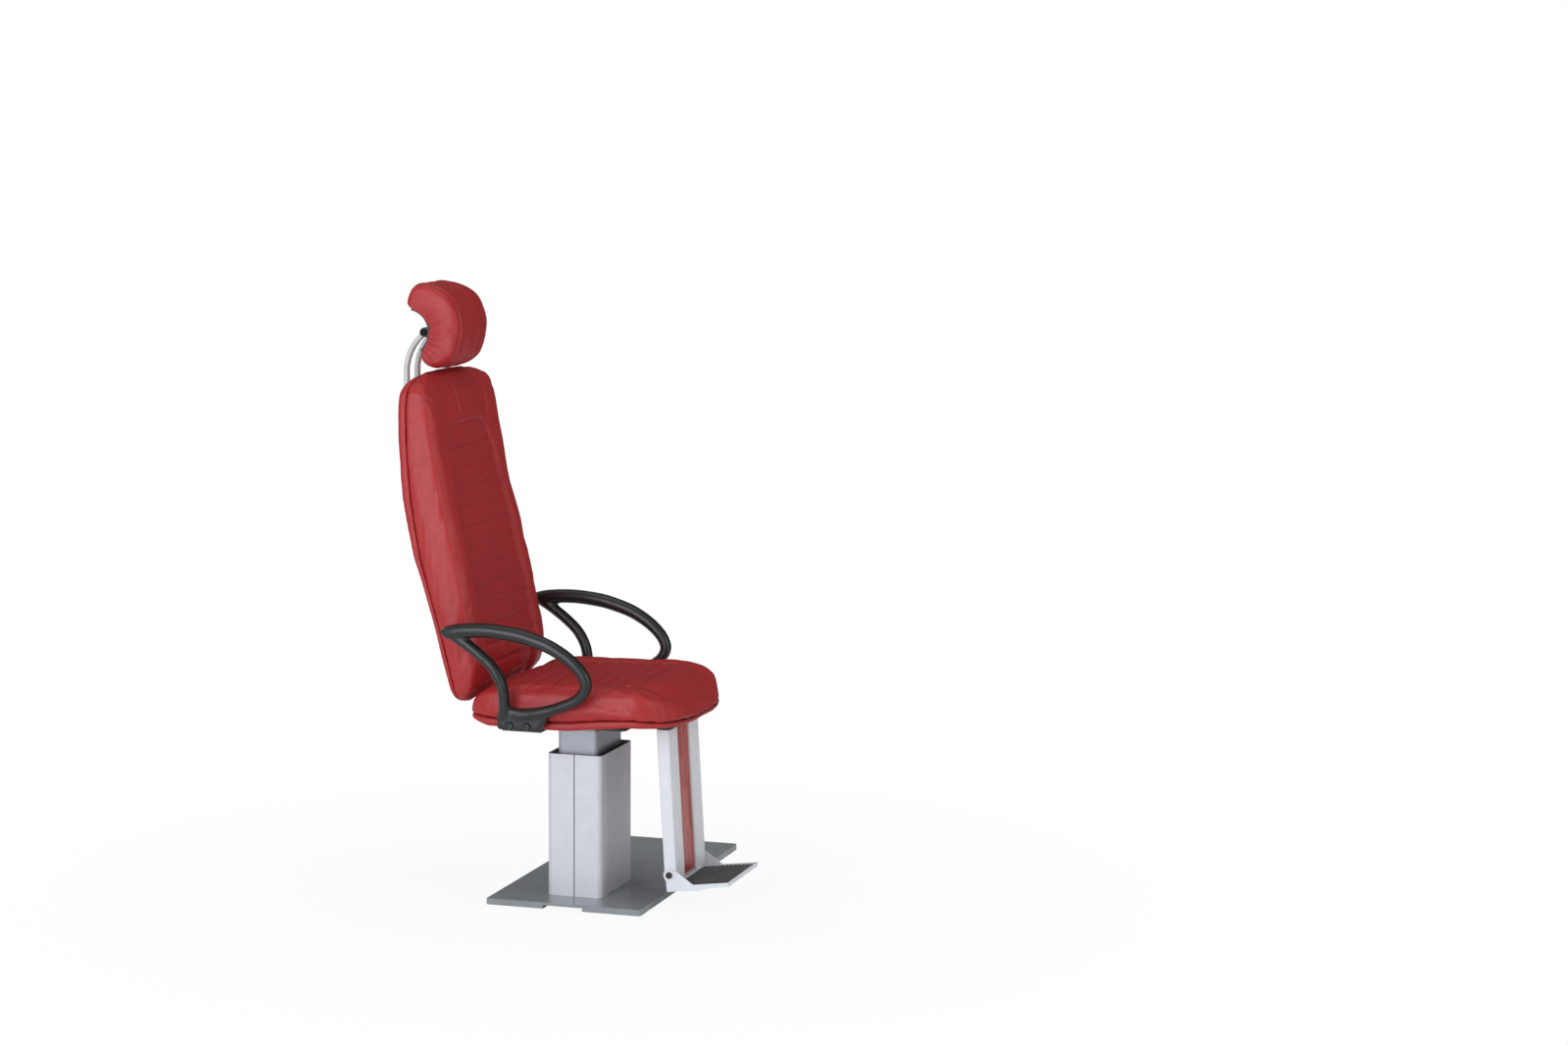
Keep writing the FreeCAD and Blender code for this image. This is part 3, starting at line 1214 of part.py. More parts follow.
def upright():
    """Left upright, a rectangular tube."""
    y0 = -PEDAL_AXIS_Y - UPRIGHT_DEPTH / 2
    y1 = -PEDAL_AXIS_Y + UPRIGHT_DEPTH / 2
    x1 = FOOT_HALF_WIDTH
    x0 = x1 - UPRIGHT_WIDTH
    low = FOOT_BOTTOM_Z - UPRIGHT_DEPTH
    high = foot_top() + UPRIGHT_DEPTH
    outer = rounded_prism(x0, x1, y0, y1, low, high, UPRIGHT_CORNER)
    inner = rounded_prism(x0 + UPRIGHT_WALL, x1 - UPRIGHT_WALL, y0 + UPRIGHT_WALL, y1 - UPRIGHT_WALL,
                          low - OVERRUN, high + OVERRUN, UPRIGHT_CORNER - UPRIGHT_WALL)
    body = foot_trim(foot_frame(outer.cut(inner)))
    return body.cut(pedal_pin_hole())


def end_plug():
    """Plug in the left upright's lower end, which also holds the pivot bolt."""
    y0 = -PEDAL_AXIS_Y - UPRIGHT_DEPTH / 2 + UPRIGHT_WALL + REST_GAP
    y1 = -PEDAL_AXIS_Y + UPRIGHT_DEPTH / 2 - UPRIGHT_WALL - REST_GAP
    x1 = FOOT_HALF_WIDTH - UPRIGHT_WALL - REST_GAP
    x0 = FOOT_HALF_WIDTH - UPRIGHT_WIDTH + UPRIGHT_WALL + REST_GAP
    high = PEDAL_AXIS_Z + PLUG_DEPTH
    body = rounded_prism(x0, x1, y0, y1, FOOT_BOTTOM_Z - UPRIGHT_DEPTH, high, UPRIGHT_CORNER - UPRIGHT_WALL)
    return foot_trim(foot_frame(body)).cut(pedal_pin_hole())


def footrest_panel():
    """Wood panel between the uprights, set back from their front faces."""
    half = FOOT_HALF_WIDTH - UPRIGHT_WIDTH
    y0 = -PEDAL_AXIS_Y - UPRIGHT_DEPTH / 2 + PANEL_RECESS
    body = box(-half, half, y0, y0 + PANEL_THICK, FOOT_BOTTOM_Z - UPRIGHT_DEPTH, foot_top() + UPRIGHT_DEPTH)
    span = 2 * FOOT_HALF_WIDTH
    keep = box(-span, span, -PEDAL_FRONT_Y, 0, FOOT_BOTTOM_Z, foot_top() - PANEL_END_GAP)
    return foot_frame(body).common(keep)


def hanger():
    """Plate that carries the uprights under the seat."""
    base = foot_top()
    shift = (base - PEDAL_AXIS_Z) * math.tan(math.radians(FOOT_LEAN_DEG))
    y_front = -PEDAL_AXIS_Y - UPRIGHT_DEPTH / 2 + shift - HANGER_OVERHANG
    body = box(-HANGER_WIDTH / 2, HANGER_WIDTH / 2, y_front, -HANGER_REAR, base, base + HANGER_THICK)
    for x, y, top in plate_screw_seats()[:4]:
        body = body.cut(flat_screw(x, y, top, REST_GAP))
    return body


def pedal_pin_hole():
    """Hole for the left pivot bolt in the upright and its plug."""
    start = Vector(FOOT_HALF_WIDTH + OVERRUN, -PEDAL_AXIS_Y, PEDAL_AXIS_Z)
    length = PEDAL_PIN_LENGTH + OVERRUN + REST_GAP
    return cylinder(start, Vector(-1, 0, 0), PEDAL_PIN_RADIUS + REST_GAP, length)


def gusset_x():
    """Inner and outer face of the left gusset, and the outer face of its boss."""
    inner = FOOT_HALF_WIDTH + GUSSET_GAP
    return inner, inner + GUSSET_THICK, inner + GUSSET_THICK + BOSS_STEP


def pedal_slope():
    """Rise of the tray per length towards the front."""
    return (PEDAL_FRONT_Z - PEDAL_HEEL_Z) / (PEDAL_FRONT_Y - PEDAL_HEEL_Y)


def pedal_rim_z(y):
    """Rim height of the tray at a distance in front of the column."""
    return PEDAL_HEEL_Z + pedal_slope() * (y - PEDAL_HEEL_Y)


def pedal_tray():
    """Folded tray: sloping floor, front lip and two side gussets with bosses."""
    inner, outer, boss = gusset_x()
    top_y = PEDAL_AXIS_Y + UPRIGHT_DEPTH / 2
    top_z = PEDAL_AXIS_Z + PEDAL_LIP
    side = [
        Vector(inner, -PEDAL_REAR_Y, top_z), Vector(inner, -top_y, top_z),
        Vector(inner, -PEDAL_HEEL_Y, PEDAL_HEEL_Z), Vector(inner, -PEDAL_FRONT_Y, PEDAL_FRONT_Z),
        Vector(inner, -PEDAL_FRONT_Y, PEDAL_FRONT_Z - PEDAL_LIP),
        Vector(inner, -PEDAL_STEP_Y - PEDAL_LIP, pedal_rim_z(PEDAL_STEP_Y) - PEDAL_LIP),
        Vector(inner, -PEDAL_STEP_Y, PEDAL_STEP_Z),
        Vector(inner, -PEDAL_REAR_Y - UPRIGHT_CORNER, PEDAL_LOW_Z),
    ]
    gusset = closed_face(side).extrude(Vector(GUSSET_THICK, 0, 0))
    axis = Vector(inner, -PEDAL_AXIS_Y, PEDAL_AXIS_Z)
    gusset = gusset.fuse(cylinder(axis, Vector(1, 0, 0), PEDAL_BOSS_RADIUS, boss - inner))
    gusset = gusset.cut(cylinder(axis - Vector(OVERRUN, 0, 0), Vector(1, 0, 0), bush_radius() + RUNNING_GAP,
                                 OVERRUN * 2 + boss - inner))
    drop = PEDAL_FLOOR_DROP
    thick = PEDAL_FLOOR_THICK
    low_rear = pedal_rim_z(PEDAL_REAR_Y + UPRIGHT_CORNER) - drop
    low_front = PEDAL_FRONT_Z - drop
    floor = [
        Vector(-inner, -PEDAL_REAR_Y - UPRIGHT_CORNER, low_rear), Vector(-inner, -PEDAL_FRONT_Y, low_front),
        Vector(-inner, -PEDAL_FRONT_Y, low_front - thick),
        Vector(-inner, -PEDAL_REAR_Y - UPRIGHT_CORNER, low_rear - thick),
    ]
    tray = closed_face(floor).extrude(Vector(2 * inner, 0, 0))
    lip = box(-outer, outer, -PEDAL_FRONT_Y - GUSSET_THICK, -PEDAL_FRONT_Y, PEDAL_FRONT_Z - PEDAL_LIP,
              PEDAL_FRONT_Z)
    return tray.fuse(lip).fuse(gusset).fuse(mirrored(gusset)).removeSplitter()


def bush_radius():
    return PEDAL_PIN_RADIUS + RUNNING_GAP + PEDAL_BUSH_WALL


def pedal_bush():
    """Bush in the left gusset."""
    inner, outer, boss = gusset_x()
    axis = Vector(inner, -PEDAL_AXIS_Y, PEDAL_AXIS_Z)
    body = cylinder(axis, Vector(1, 0, 0), bush_radius(), boss - inner)
    return body.cut(cylinder(axis - Vector(OVERRUN, 0, 0), Vector(1, 0, 0), PEDAL_PIN_RADIUS + RUNNING_GAP,
                             boss - inner + 2 * OVERRUN))


def pedal_bolt():
    """Left pivot bolt, held in the upright's plug."""
    boss = gusset_x()[2]
    seat = Vector(boss + REST_GAP, -PEDAL_AXIS_Y, PEDAL_AXIS_Z)
    shank = seat.x - FOOT_HALF_WIDTH + PEDAL_PIN_LENGTH
    return socket_screw(seat, Vector(1, 0, 0), PEDAL_HEAD_RADIUS, PEDAL_HEAD, PEDAL_PIN_RADIUS, shank)


def pedal_mat():
    """Ribbed mat on the tray's floor."""
    half = FOOT_HALF_WIDTH - MAT_MARGIN
    y_front = PEDAL_FRONT_Y - MAT_MARGIN
    drop = PEDAL_FLOOR_DROP - REST_GAP
    points = [Vector(-half, -MAT_REAR_Y, pedal_rim_z(MAT_REAR_Y) - drop)]
    points.append(Vector(-half, -y_front, pedal_rim_z(y_front) - drop))
    pitch = (y_front - MAT_REAR_Y) / MAT_RIB_COUNT
    for i in range(MAT_RIB_COUNT):
        for step, height in ((0.0, 0), (0.12, 1), (0.55, 1), (0.67, 0)):
            y = y_front - pitch * (i + step)
            points.append(Vector(-half, -y, pedal_rim_z(y) - drop + MAT_THICK + MAT_RIB * height))
    points.append(Vector(-half, -MAT_REAR_Y, pedal_rim_z(MAT_REAR_Y) - drop + MAT_THICK))
    return closed_face(points).extrude(Vector(2 * half, 0, 0))


# Headrest


def headrest_tube():
    """Left bent tube from the stop bar to the barrel, hollow."""
    bend = math.radians(TUBE_BEND_DEG)
    low = Vector(TUBE_X, TUBE_Y, TUBE_LOW_Z)
    knee = Vector(TUBE_X, TUBE_Y, TUBE_BEND_Z)
    centre = knee - Vector(0, TUBE_BEND_RADIUS, 0)
    middle = centre + Vector(0, math.cos(bend / 2), math.sin(bend / 2)) * TUBE_BEND_RADIUS
    end = centre + Vector(0, math.cos(bend), math.sin(bend)) * TUBE_BEND_RADIUS
    path = Part.Wire([Part.makeLine(low, knee), arc(knee, middle, end)])
    bodies = []
    for radius in (TUBE_RADIUS, TUBE_RADIUS - TUBE_WALL):
        section = Part.Wire(Part.makeCircle(radius, low, Vector(0, 0, 1)))
        bodies.append(path.makePipeShell([section], True, True))
    body = bodies[0].cut(bodies[1])
    barrel_room = cylinder(tilt_point(-BARREL_HALF - OVERRUN), Vector(1, 0, 0), BARREL_RADIUS + REST_GAP,
                           2 * (BARREL_HALF + OVERRUN))
    return body.cut(barrel_room)


def stop_bar():
    """Bar that ties the tubes below the guide block."""
    half = TUBE_X + TUBE_RADIUS + STOP_BAR_DEPTH / 6
    low = TUBE_LOW_Z - STOP_BAR_HEIGHT
    return rounded_prism(-half, half, TUBE_Y - STOP_BAR_DEPTH / 2, TUBE_Y + STOP_BAR_DEPTH / 2,
                         low, TUBE_LOW_Z, STOP_BAR_DEPTH / 3)


def block_front_y():
    """Front face of the guide block, just behind the rear cover."""
    proud = 0
    for row in BACK_SHARES:
        z = back_knot(row[0])[0]
        if BLOCK_LOW_Z - BACK_COVER_FLAT < z < BLOCK_HIGH_Z + BACK_COVER_FLAT:
            proud = max(proud, cover_rear(row[0]))
    return proud + REST_GAP


def guide_block():
    """Guide block on the rear cover with two bores for the tubes."""
    rear = TUBE_Y + TUBE_RADIUS + BLOCK_DEPTH_BEHIND / 2
    body = rounded_prism(-BLOCK_WIDTH / 2, BLOCK_WIDTH / 2, block_front_y(), rear, BLOCK_LOW_Z, BLOCK_HIGH_Z,
                         BLOCK_CORNER)
    for sign in (-1, 1):
        start = Vector(sign * TUBE_X, TUBE_Y, BLOCK_LOW_Z - OVERRUN)
        body = body.cut(cylinder(start, Vector(0, 0, 1), TUBE_RADIUS + RUNNING_GAP,
                                 BLOCK_HIGH_Z - BLOCK_LOW_Z + 2 * OVERRUN))
    for hole in block_screws()[1]:
        body = body.cut(hole)
    return body


def block_screws():
    """Two screws through the guide block into the back."""
    rear = TUBE_Y + TUBE_RADIUS + BLOCK_DEPTH_BEHIND / 2
    out = Vector(0, 1, 0)
    screws, holes = [], []
    room = BLOCK_HIGH_Z - BLOCK_LOW_Z
    for share in (0.22, 0.78):
        seat = Vector(0, rear, BLOCK_LOW_Z + room * share)
        shank = rear - block_front_y() + BLOCK_SCREW_SINK
        screws.append(socket_screw(seat, out, BLOCK_SCREW_HEAD_RADIUS, BLOCK_SCREW_HEAD, BLOCK_SCREW_RADIUS,
                                   shank))
        holes.append(cylinder(seat - out * (shank + REST_GAP), out, BLOCK_SCREW_RADIUS + REST_GAP,
                              shank + OVERRUN))
    return screws, holes


def tilt_point(x):
    return Vector(x, TILT_AXIS_Y, TILT_AXIS_Z)


def barrel():
    """Round barrel on the tube ends, bored for the tilt pin."""
    body = cylinder(tilt_point(-BARREL_HALF), Vector(1, 0, 0), BARREL_RADIUS, 2 * BARREL_HALF)
    start = tilt_point(-BARREL_HALF - OVERRUN)
    length = 2 * (BARREL_HALF + OVERRUN)
    return body.cut(cylinder(start, Vector(1, 0, 0), TILT_PIN_RADIUS + RUNNING_GAP, length))


def tilt_pin():
    """Pin through the barrel and both ears, with a head at each end."""
    reach = BARREL_HALF + EAR_GAP + EAR_THICK + EAR_GAP
    body = cylinder(tilt_point(-reach - TILT_HEAD), Vector(1, 0, 0), TILT_PIN_RADIUS, 2 * (reach + TILT_HEAD))
    for sign in (-1, 1):
        body = body.fuse(cylinder(tilt_point(sign * reach), Vector(sign, 0, 0), TILT_HEAD_RADIUS, TILT_HEAD))
    return body


def head_points():
    """Points of the headrest profile in the middle plane."""
    span_y = HEAD_BACK_Y - HEAD_FRONT_Y
    span_z = HEAD_TOP_Z - HEAD_BOTTOM_Z
    return [Vector(0, HEAD_FRONT_Y + span_y * a, HEAD_BOTTOM_Z + span_z * b) for a, b in HEAD_PROFILE_SHARES]


def hollow_radius():
    """Centre and radius of the concave rear, and its lower tip, middle and upper tip."""
    points = head_points()
    low, high = points[-1], points[0]
    middle = Vector(0, HEAD_HOLLOW_Y, lerp(low.z, high.z, PAD_SIDE_SHARE))
    circle = Part.Arc(low, middle, high).toShape().Curve
    return circle.Center, circle.Radius, low, middle, high


def head_wire(x, inset):
    """Crescent section at one distance from the middle; inset draws it in."""
    low, hollow, high = hollow_radius()[2:]
    heart = Vector(0, lerp(HEAD_FRONT_Y, HEAD_HOLLOW_Y, PAD_SIDE_SHARE),
                   lerp(HEAD_BOTTOM_Z, HEAD_TOP_Z, PAD_SIDE_SHARE))
    points = []
    for point in head_points()[1:-1]:
        way = heart - point
        way.normalize()
        moved = point + way * inset
        points.append(Vector(x, moved.y, moved.z))
    low = Vector(x, low.y, low.z)
    high = Vector(x, high.y, high.z)
    edges = [arc(high, points[0], points[1])]
    for i in range(1, len(points) - 2, 2):
        edges.append(arc(points[i], points[i + 1], points[i + 2]))
    edges.append(Part.makeLine(points[-1], low))
    edges.append(arc(low, Vector(x, hollow.y, hollow.z), high))
    return Part.Wire(edges)


def head_cushion():
    """Crescent cushion, fullest at the middle, drawn in at its ends."""
    stations = [(share * HEAD_HALF_WIDTH, puff * HEAD_PUFF) for share, puff in HEAD_STATION_SHARES]
    rows = [(-x, inset) for x, inset in stations] + [(x, inset) for x, inset in reversed(stations[:-1])]
    return loft([head_wire(x, inset) for x, inset in rows])


def head_board():
    """Curved board that lines the hollow of the cushion."""
    centre, radius, low, hollow, high = hollow_radius()
    outer = radius - REST_GAP
    inner = outer - HEAD_BOARD_THICK

    def on(point, r):
        way = Vector(0, point.y - centre.y, point.z - centre.z)
        way.normalize()
        return Vector(0, centre.y, centre.z) + way * r

    edges = [
        arc(on(low, outer), on(hollow, outer), on(high, outer)),
        Part.makeLine(on(high, outer), on(high, inner)),
        arc(on(high, inner), on(hollow, inner), on(low, inner)),
        Part.makeLine(on(low, inner), on(low, outer)),
    ]
    face = Part.Face(Part.Wire(edges))
    half = HEAD_HALF_WIDTH * PAD_SHOULDER_SHARE
    face.translate(Vector(-half, 0, 0))
    return face.extrude(Vector(2 * half, 0, 0))


def head_bracket():
    """Mounting plate on the board with two ears round the tilt pin."""
    board_rear = HEAD_HOLLOW_Y + HEAD_BOARD_THICK + REST_GAP
    half_x = BARREL_HALF + EAR_GAP + EAR_THICK
    centre, radius, low, hollow, high = hollow_radius()
    inner = radius - HEAD_BOARD_THICK - 2 * REST_GAP
    plate = box(-half_x, half_x, HEAD_HOLLOW_Y, board_rear + BACKPLATE_THICK,
                TILT_AXIS_Z - BACKPLATE_HEIGHT / 2, TILT_AXIS_Z + BACKPLATE_HEIGHT / 2)
    start = Vector(-half_x - OVERRUN, centre.y, centre.z)
    keep = cylinder(start, Vector(1, 0, 0), inner, 2 * (half_x + OVERRUN))
    body = plate
    for sign in (-1, 1):
        x0 = sign * (BARREL_HALF + EAR_GAP)
        outline = [
            Vector(x0, board_rear, TILT_AXIS_Z - BACKPLATE_HEIGHT / 3),
            Vector(x0, TILT_AXIS_Y, TILT_AXIS_Z - EAR_RADIUS),
            Vector(x0, TILT_AXIS_Y, TILT_AXIS_Z + EAR_RADIUS),
            Vector(x0, board_rear, TILT_AXIS_Z + BACKPLATE_HEIGHT / 3),
        ]
        ear = closed_face(outline).extrude(Vector(sign * EAR_THICK, 0, 0))
        ear = ear.fuse(cylinder(tilt_point(x0), Vector(sign, 0, 0), EAR_RADIUS, EAR_THICK))
        body = body.fuse(ear)
    pin = cylinder(tilt_point(-half_x - OVERRUN), Vector(1, 0, 0), TILT_PIN_RADIUS + RUNNING_GAP,
                   2 * (half_x + OVERRUN))
    return body.common(keep).cut(pin).removeSplitter()


def main():
    os.makedirs("parts", exist_ok=True)
    save("base_plate", base_plate())
    save("base_bolts", *[base_bolt(x, y, 0) for x, y in base_bolt_points()])
    front, rear = column_cover()
    save("column_cover_front", front)
    save("column_cover_rear", rear)
    save("column_cap", column_cap())
    save("guide_tube", guide_tube())
    save("guide_foot", guide_foot())
    high = cap_z() - REST_GAP - PAD_HEIGHT
    low = min(LIFT_BOTTOM + REST_GAP, high - LIFT_TRAVEL - PAD_HEIGHT - PAD_STOP_ROOM)
    save("glide_pads_upper", *glide_pads(high, 0, REST_GAP))
    save("glide_pads_lower", *glide_pads(max(low, LIFT_BOTTOM + REST_GAP), REST_GAP, 0))
    gearbox, motor, drive_tube, rod = drive()
    save("drive_gearbox", gearbox)
    save("drive_motor", motor)
    save("drive_tube", drive_tube)
    save("push_rod", rod)
    save("lift_tube", lift_tube())
    save("lift_top_plate", lift_top_plate())
    lower, disc, pin, nut = swivel_parts()
    save("swivel_ring", lower)
    save("swivel_disc", disc)
    save("swivel_pivot", pin)
    save("swivel_nut", nut)
    save("seat_plate", seat_plate())
    save("seat_rails", *seat_rails())
    shell, board = seat_shell_and_board()
    save("seat_shell", shell)
    save("seat_board", board)
    save("seat_cushion", seat_cushion())
    bolts, bolt_holes = bar_bolts()
    bar = back_bar()
    cover = back_cover()
    for hole in bolt_holes:
        bar = bar.cut(hole)
        cover = cover.cut(hole)
    screws, screw_holes = block_screws()
    for hole in screw_holes:
        cover = cover.cut(hole)
    for x, y, top in plate_screw_seats()[4:]:
        bar = bar.cut(flat_screw(x, y, top, REST_GAP))
    save("plate_screws", *[flat_screw(x, y, top, 0) for x, y, top in plate_screw_seats()])
    screws_up = shell_screws(False)
    save("rail_screws", *screws_up[:4])
    save("angle_screws", *screws_up[4:])
    save("back_bar", bar)
    save("back_bar_bolts", *bolts)
    save("back_cover", cover)
    save("back_board", back_board())
    save("back_cushion", back_cushion())
    save("arm_left", arm())
    save("arm_right", mirrored(arm()))
    save("arm_angle_left", arm_angle())
    save("arm_angle_right", mirrored(arm_angle()))
    screws_left = arm_screws()
    save("arm_screws", *(screws_left + [mirrored(s) for s in screws_left]))
    save("footrest_hanger", hanger())
    save("upright_left", upright())
    save("upright_right", mirrored(upright()))
    save("footrest_panel", footrest_panel())
    save("upright_plugs", end_plug(), mirrored(end_plug()))
    save("footplate_tray", pedal_tray())
    save("footplate_mat", pedal_mat())
    save("footplate_bushes", pedal_bush(), mirrored(pedal_bush()))
    save("footplate_bolts", pedal_bolt(), mirrored(pedal_bolt()))
    save("headrest_tubes", headrest_tube(), mirrored(headrest_tube()))
    save("headrest_stop_bar", stop_bar())
    save("headrest_guide", guide_block())
    save("headrest_guide_screws", *screws)
    save("headrest_barrel", barrel())
    save("headrest_pin", tilt_pin())
    save("headrest_bracket", head_bracket())
    save("headrest_board", head_board())
    save("headrest_cushion", head_cushion())


main()
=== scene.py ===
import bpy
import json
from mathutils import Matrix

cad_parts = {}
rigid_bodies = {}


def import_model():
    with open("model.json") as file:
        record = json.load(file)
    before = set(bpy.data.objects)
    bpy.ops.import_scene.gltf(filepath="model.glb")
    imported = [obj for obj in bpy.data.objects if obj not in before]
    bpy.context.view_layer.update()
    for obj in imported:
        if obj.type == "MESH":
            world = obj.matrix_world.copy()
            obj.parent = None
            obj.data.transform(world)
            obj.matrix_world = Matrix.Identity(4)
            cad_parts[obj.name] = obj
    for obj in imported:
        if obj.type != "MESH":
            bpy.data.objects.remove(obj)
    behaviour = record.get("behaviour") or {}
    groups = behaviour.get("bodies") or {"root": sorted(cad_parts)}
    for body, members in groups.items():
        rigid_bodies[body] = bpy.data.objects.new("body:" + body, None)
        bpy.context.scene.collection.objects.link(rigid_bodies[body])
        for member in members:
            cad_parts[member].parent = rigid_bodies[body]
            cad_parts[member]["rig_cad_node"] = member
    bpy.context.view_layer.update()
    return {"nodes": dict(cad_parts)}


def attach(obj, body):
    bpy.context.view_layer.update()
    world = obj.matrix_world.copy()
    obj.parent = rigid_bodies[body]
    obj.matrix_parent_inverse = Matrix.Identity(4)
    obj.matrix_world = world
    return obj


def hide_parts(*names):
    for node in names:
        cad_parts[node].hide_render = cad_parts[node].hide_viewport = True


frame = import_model()

import json
import logging
from dataclasses import dataclass
from enum import Enum
from typing import Callable

import bpy
import numpy as np
from mathutils import Matrix, Vector

log = logging.getLogger("exam_chair")

Array = np.ndarray
Shape = tuple[Array, list[Array]]
Table = tuple[tuple[float, ...], ...]
Triple = tuple[float, float, float]
Colour = tuple[int, int, int]
Object = bpy.types.Object
Tree = bpy.types.NodeTree
Socket = bpy.types.NodeSocket

MM = 0.001
TAU = 2.0 * np.pi
NO_SEAM = 99.0  # stored as the distance where no seam is near
WHITE = (1.0, 1.0, 1.0, 1.0)


# Number helpers


def ramp(value: Array, low: float, high: float) -> Array:
    """Smooth step from 0 at low to 1 at high: 3t^2 - 2t^3 of the clipped share t."""
    t = np.clip((value - low) / (high - low), 0.0, 1.0)
    return t * t * (3.0 - 2.0 * t)


def bell(distance: Array, width: float) -> Array:
    """Bell curve exp(-(distance / width)^2)."""
    return np.exp(-((distance / width) ** 2))


def unit(rows: Array) -> Array:
    """Rows scaled to length 1."""
    return rows / np.linalg.norm(rows, axis=1)[:, None]


def look_up(table: Table, at: Array) -> Array:
    """Second column of a table at places of its first, straight between rows."""
    return np.interp(at, *np.array(table, float).T)


def spline(knots: Array, steps: int) -> Array:
    """Smooth curve through rows of numbers.

    Each span is the Catmull-Rom cubic of its two knots and their neighbours.

    Args:
        knots: Array of shape (n, k).
        steps: Samples in each span.

    Returns:
        Array of shape ((n - 1) * steps + 1, k).
    """
    knots = np.asarray(knots, float)
    padded = np.vstack([2 * knots[0] - knots[1], knots, 2 * knots[-1] - knots[-2]])
    t = (np.arange(steps) / steps)[None, :, None]
    a, b, c, d = (padded[i:i + len(knots) - 1][:, None, :] for i in range(4))
    cubic = 0.5 * (2 * b + (c - a) * t + (2 * a - 5 * b + 4 * c - d) * t ** 2
                   + (3 * b - a - 3 * c + d) * t ** 3)
    return np.vstack([cubic.reshape(-1, knots.shape[1]), knots[-1:]])


def bow(start: Array, middle: Array, end: Array, count: int) -> Array:
    """Parabolas through three points of each section, count samples on each without its last point."""
    t = (np.arange(count) / count)[None, :, None]
    return (start[:, None] * (1 - t) * (1 - 2 * t) + middle[:, None] * 4 * t * (1 - t)
            + end[:, None] * t * (2 * t - 1))


def waves(position: Array, seed: int, count: int, low: float, high: float, squeeze: Triple = (1, 1, 1)) -> Array:
    """Sum of plane waves in seeded directions, between about -1 and 1.

    Args:
        position: Points in millimetres, shape (n, 3).
        seed: Seed of the directions and phases.
        count: Number of waves.
        low: Shortest wave length in millimetres.
        high: Longest wave length in millimetres.
        squeeze: Factor on each axis; below 1 it draws the waves out along that axis.

    Returns:
        One number for each point.
    """
    source = np.random.default_rng(seed)
    ways = unit(source.normal(size=(count, 3)))
    pitch = source.uniform(low, high, count)
    phase = source.uniform(0, TAU, count)
    place = position * np.array(squeeze, float)
    return np.sin(place @ (ways * (TAU / pitch)[:, None]).T + phase).sum(1) / np.sqrt(count)


def line_field(points: Array, line: Array) -> tuple[Array, Array]:
    """Distance to a line of points in a plane, and how far along it.

    Args:
        points: Points, shape (n, 2).
        line: Closely spaced points of the line, shape (m, 2).

    Returns:
        Distance of each point, and the run along the line at its nearest point.
    """
    near = np.full(len(points), np.inf)
    run = np.zeros(len(points))
    lengths = np.linalg.norm(np.diff(line, axis=0), axis=1)
    starts = np.concatenate([[0.0], np.cumsum(lengths)[:-1]])
    for a, b, length, start in zip(line[:-1], line[1:], lengths, starts):
        way = (b - a) / length
        along = np.clip((points - a) @ way, 0, length)
        gap = np.linalg.norm(points - a - along[:, None] * way, axis=1)
        closer = gap < near
        near = np.where(closer, gap, near)
        run = np.where(closer, start + along, run)
    return near, run


def cross_lines(level: Array, lines: tuple[float, ...], near: float) -> tuple[Array, Array]:
    """Distance from levels to the nearest line, and the signed offset, or NO_SEAM where no line is near."""
    offsets = [level - line for line in lines]
    return np.min(np.abs(offsets), axis=0), np.select([np.abs(o) < near for o in offsets], offsets, NO_SEAM)


# Mesh helpers


def skin(rings: Array, closed: bool = False) -> Shape:
    """Faces over a stack of closed rings.

    Args:
        rings: Points in millimetres, shape (s, n, 3).
        closed: Whether the last ring joins the first. If not, a fan to its middle closes each end.

    Returns:
        Points and faces.
    """
    s, n = rings.shape[:2]
    i = np.arange(s if closed else s - 1)[:, None]
    j = np.arange(n)[None, :]
    above, k = (i + 1) % s * n, (j + 1) % n
    walls = np.stack(np.broadcast_arrays(i * n + j, i * n + k, above + k, above + j), -1).reshape(-1, 4)
    if closed:
        return rings.reshape(-1, 3), [walls]
    points = np.vstack([rings.reshape(-1, 3), rings[0].mean(0), rings[-1].mean(0)])
    low = np.stack([k[0], j[0], np.full(n, s * n)], -1)
    high = np.stack([(s - 1) * n + j[0], (s - 1) * n + k[0], np.full(n, s * n + 1)], -1)
    return points, [walls, low, high]


def join(*shapes: Shape) -> Shape:
    """One list of points and faces from several."""
    points, faces, first = [], [], 0
    for shape_points, shape_faces in shapes:
        points.append(shape_points)
        faces.extend(block + first for block in shape_faces)
        first += len(shape_points)
    return np.vstack(points), faces


def outward(shape: Shape) -> Shape:
    """Turn all faces round if the enclosed volume comes out negative."""
    points, faces = shape
    volume = 0.0
    for block in faces:
        corner = points[block]
        for i in range(1, block.shape[1] - 1):
            volume += np.einsum("ij,ij->i", corner[:, 0], np.cross(corner[:, i], corner[:, i + 1])).sum()
    return (points, faces) if volume > 0 else (points, [block[:, ::-1] for block in faces])


def shade_smooth(mesh: bpy.types.Mesh) -> None:
    """Shade every face smooth."""
    mesh.polygons.foreach_set("use_smooth", np.ones(len(mesh.polygons), bool))
    mesh.update()


def add_object(name: str, data: bpy.types.ID) -> Object:
    """New object with this data at the origin, linked to the scene."""
    made = bpy.data.objects.new(name, data)
    bpy.context.scene.collection.objects.link(made)
    return made


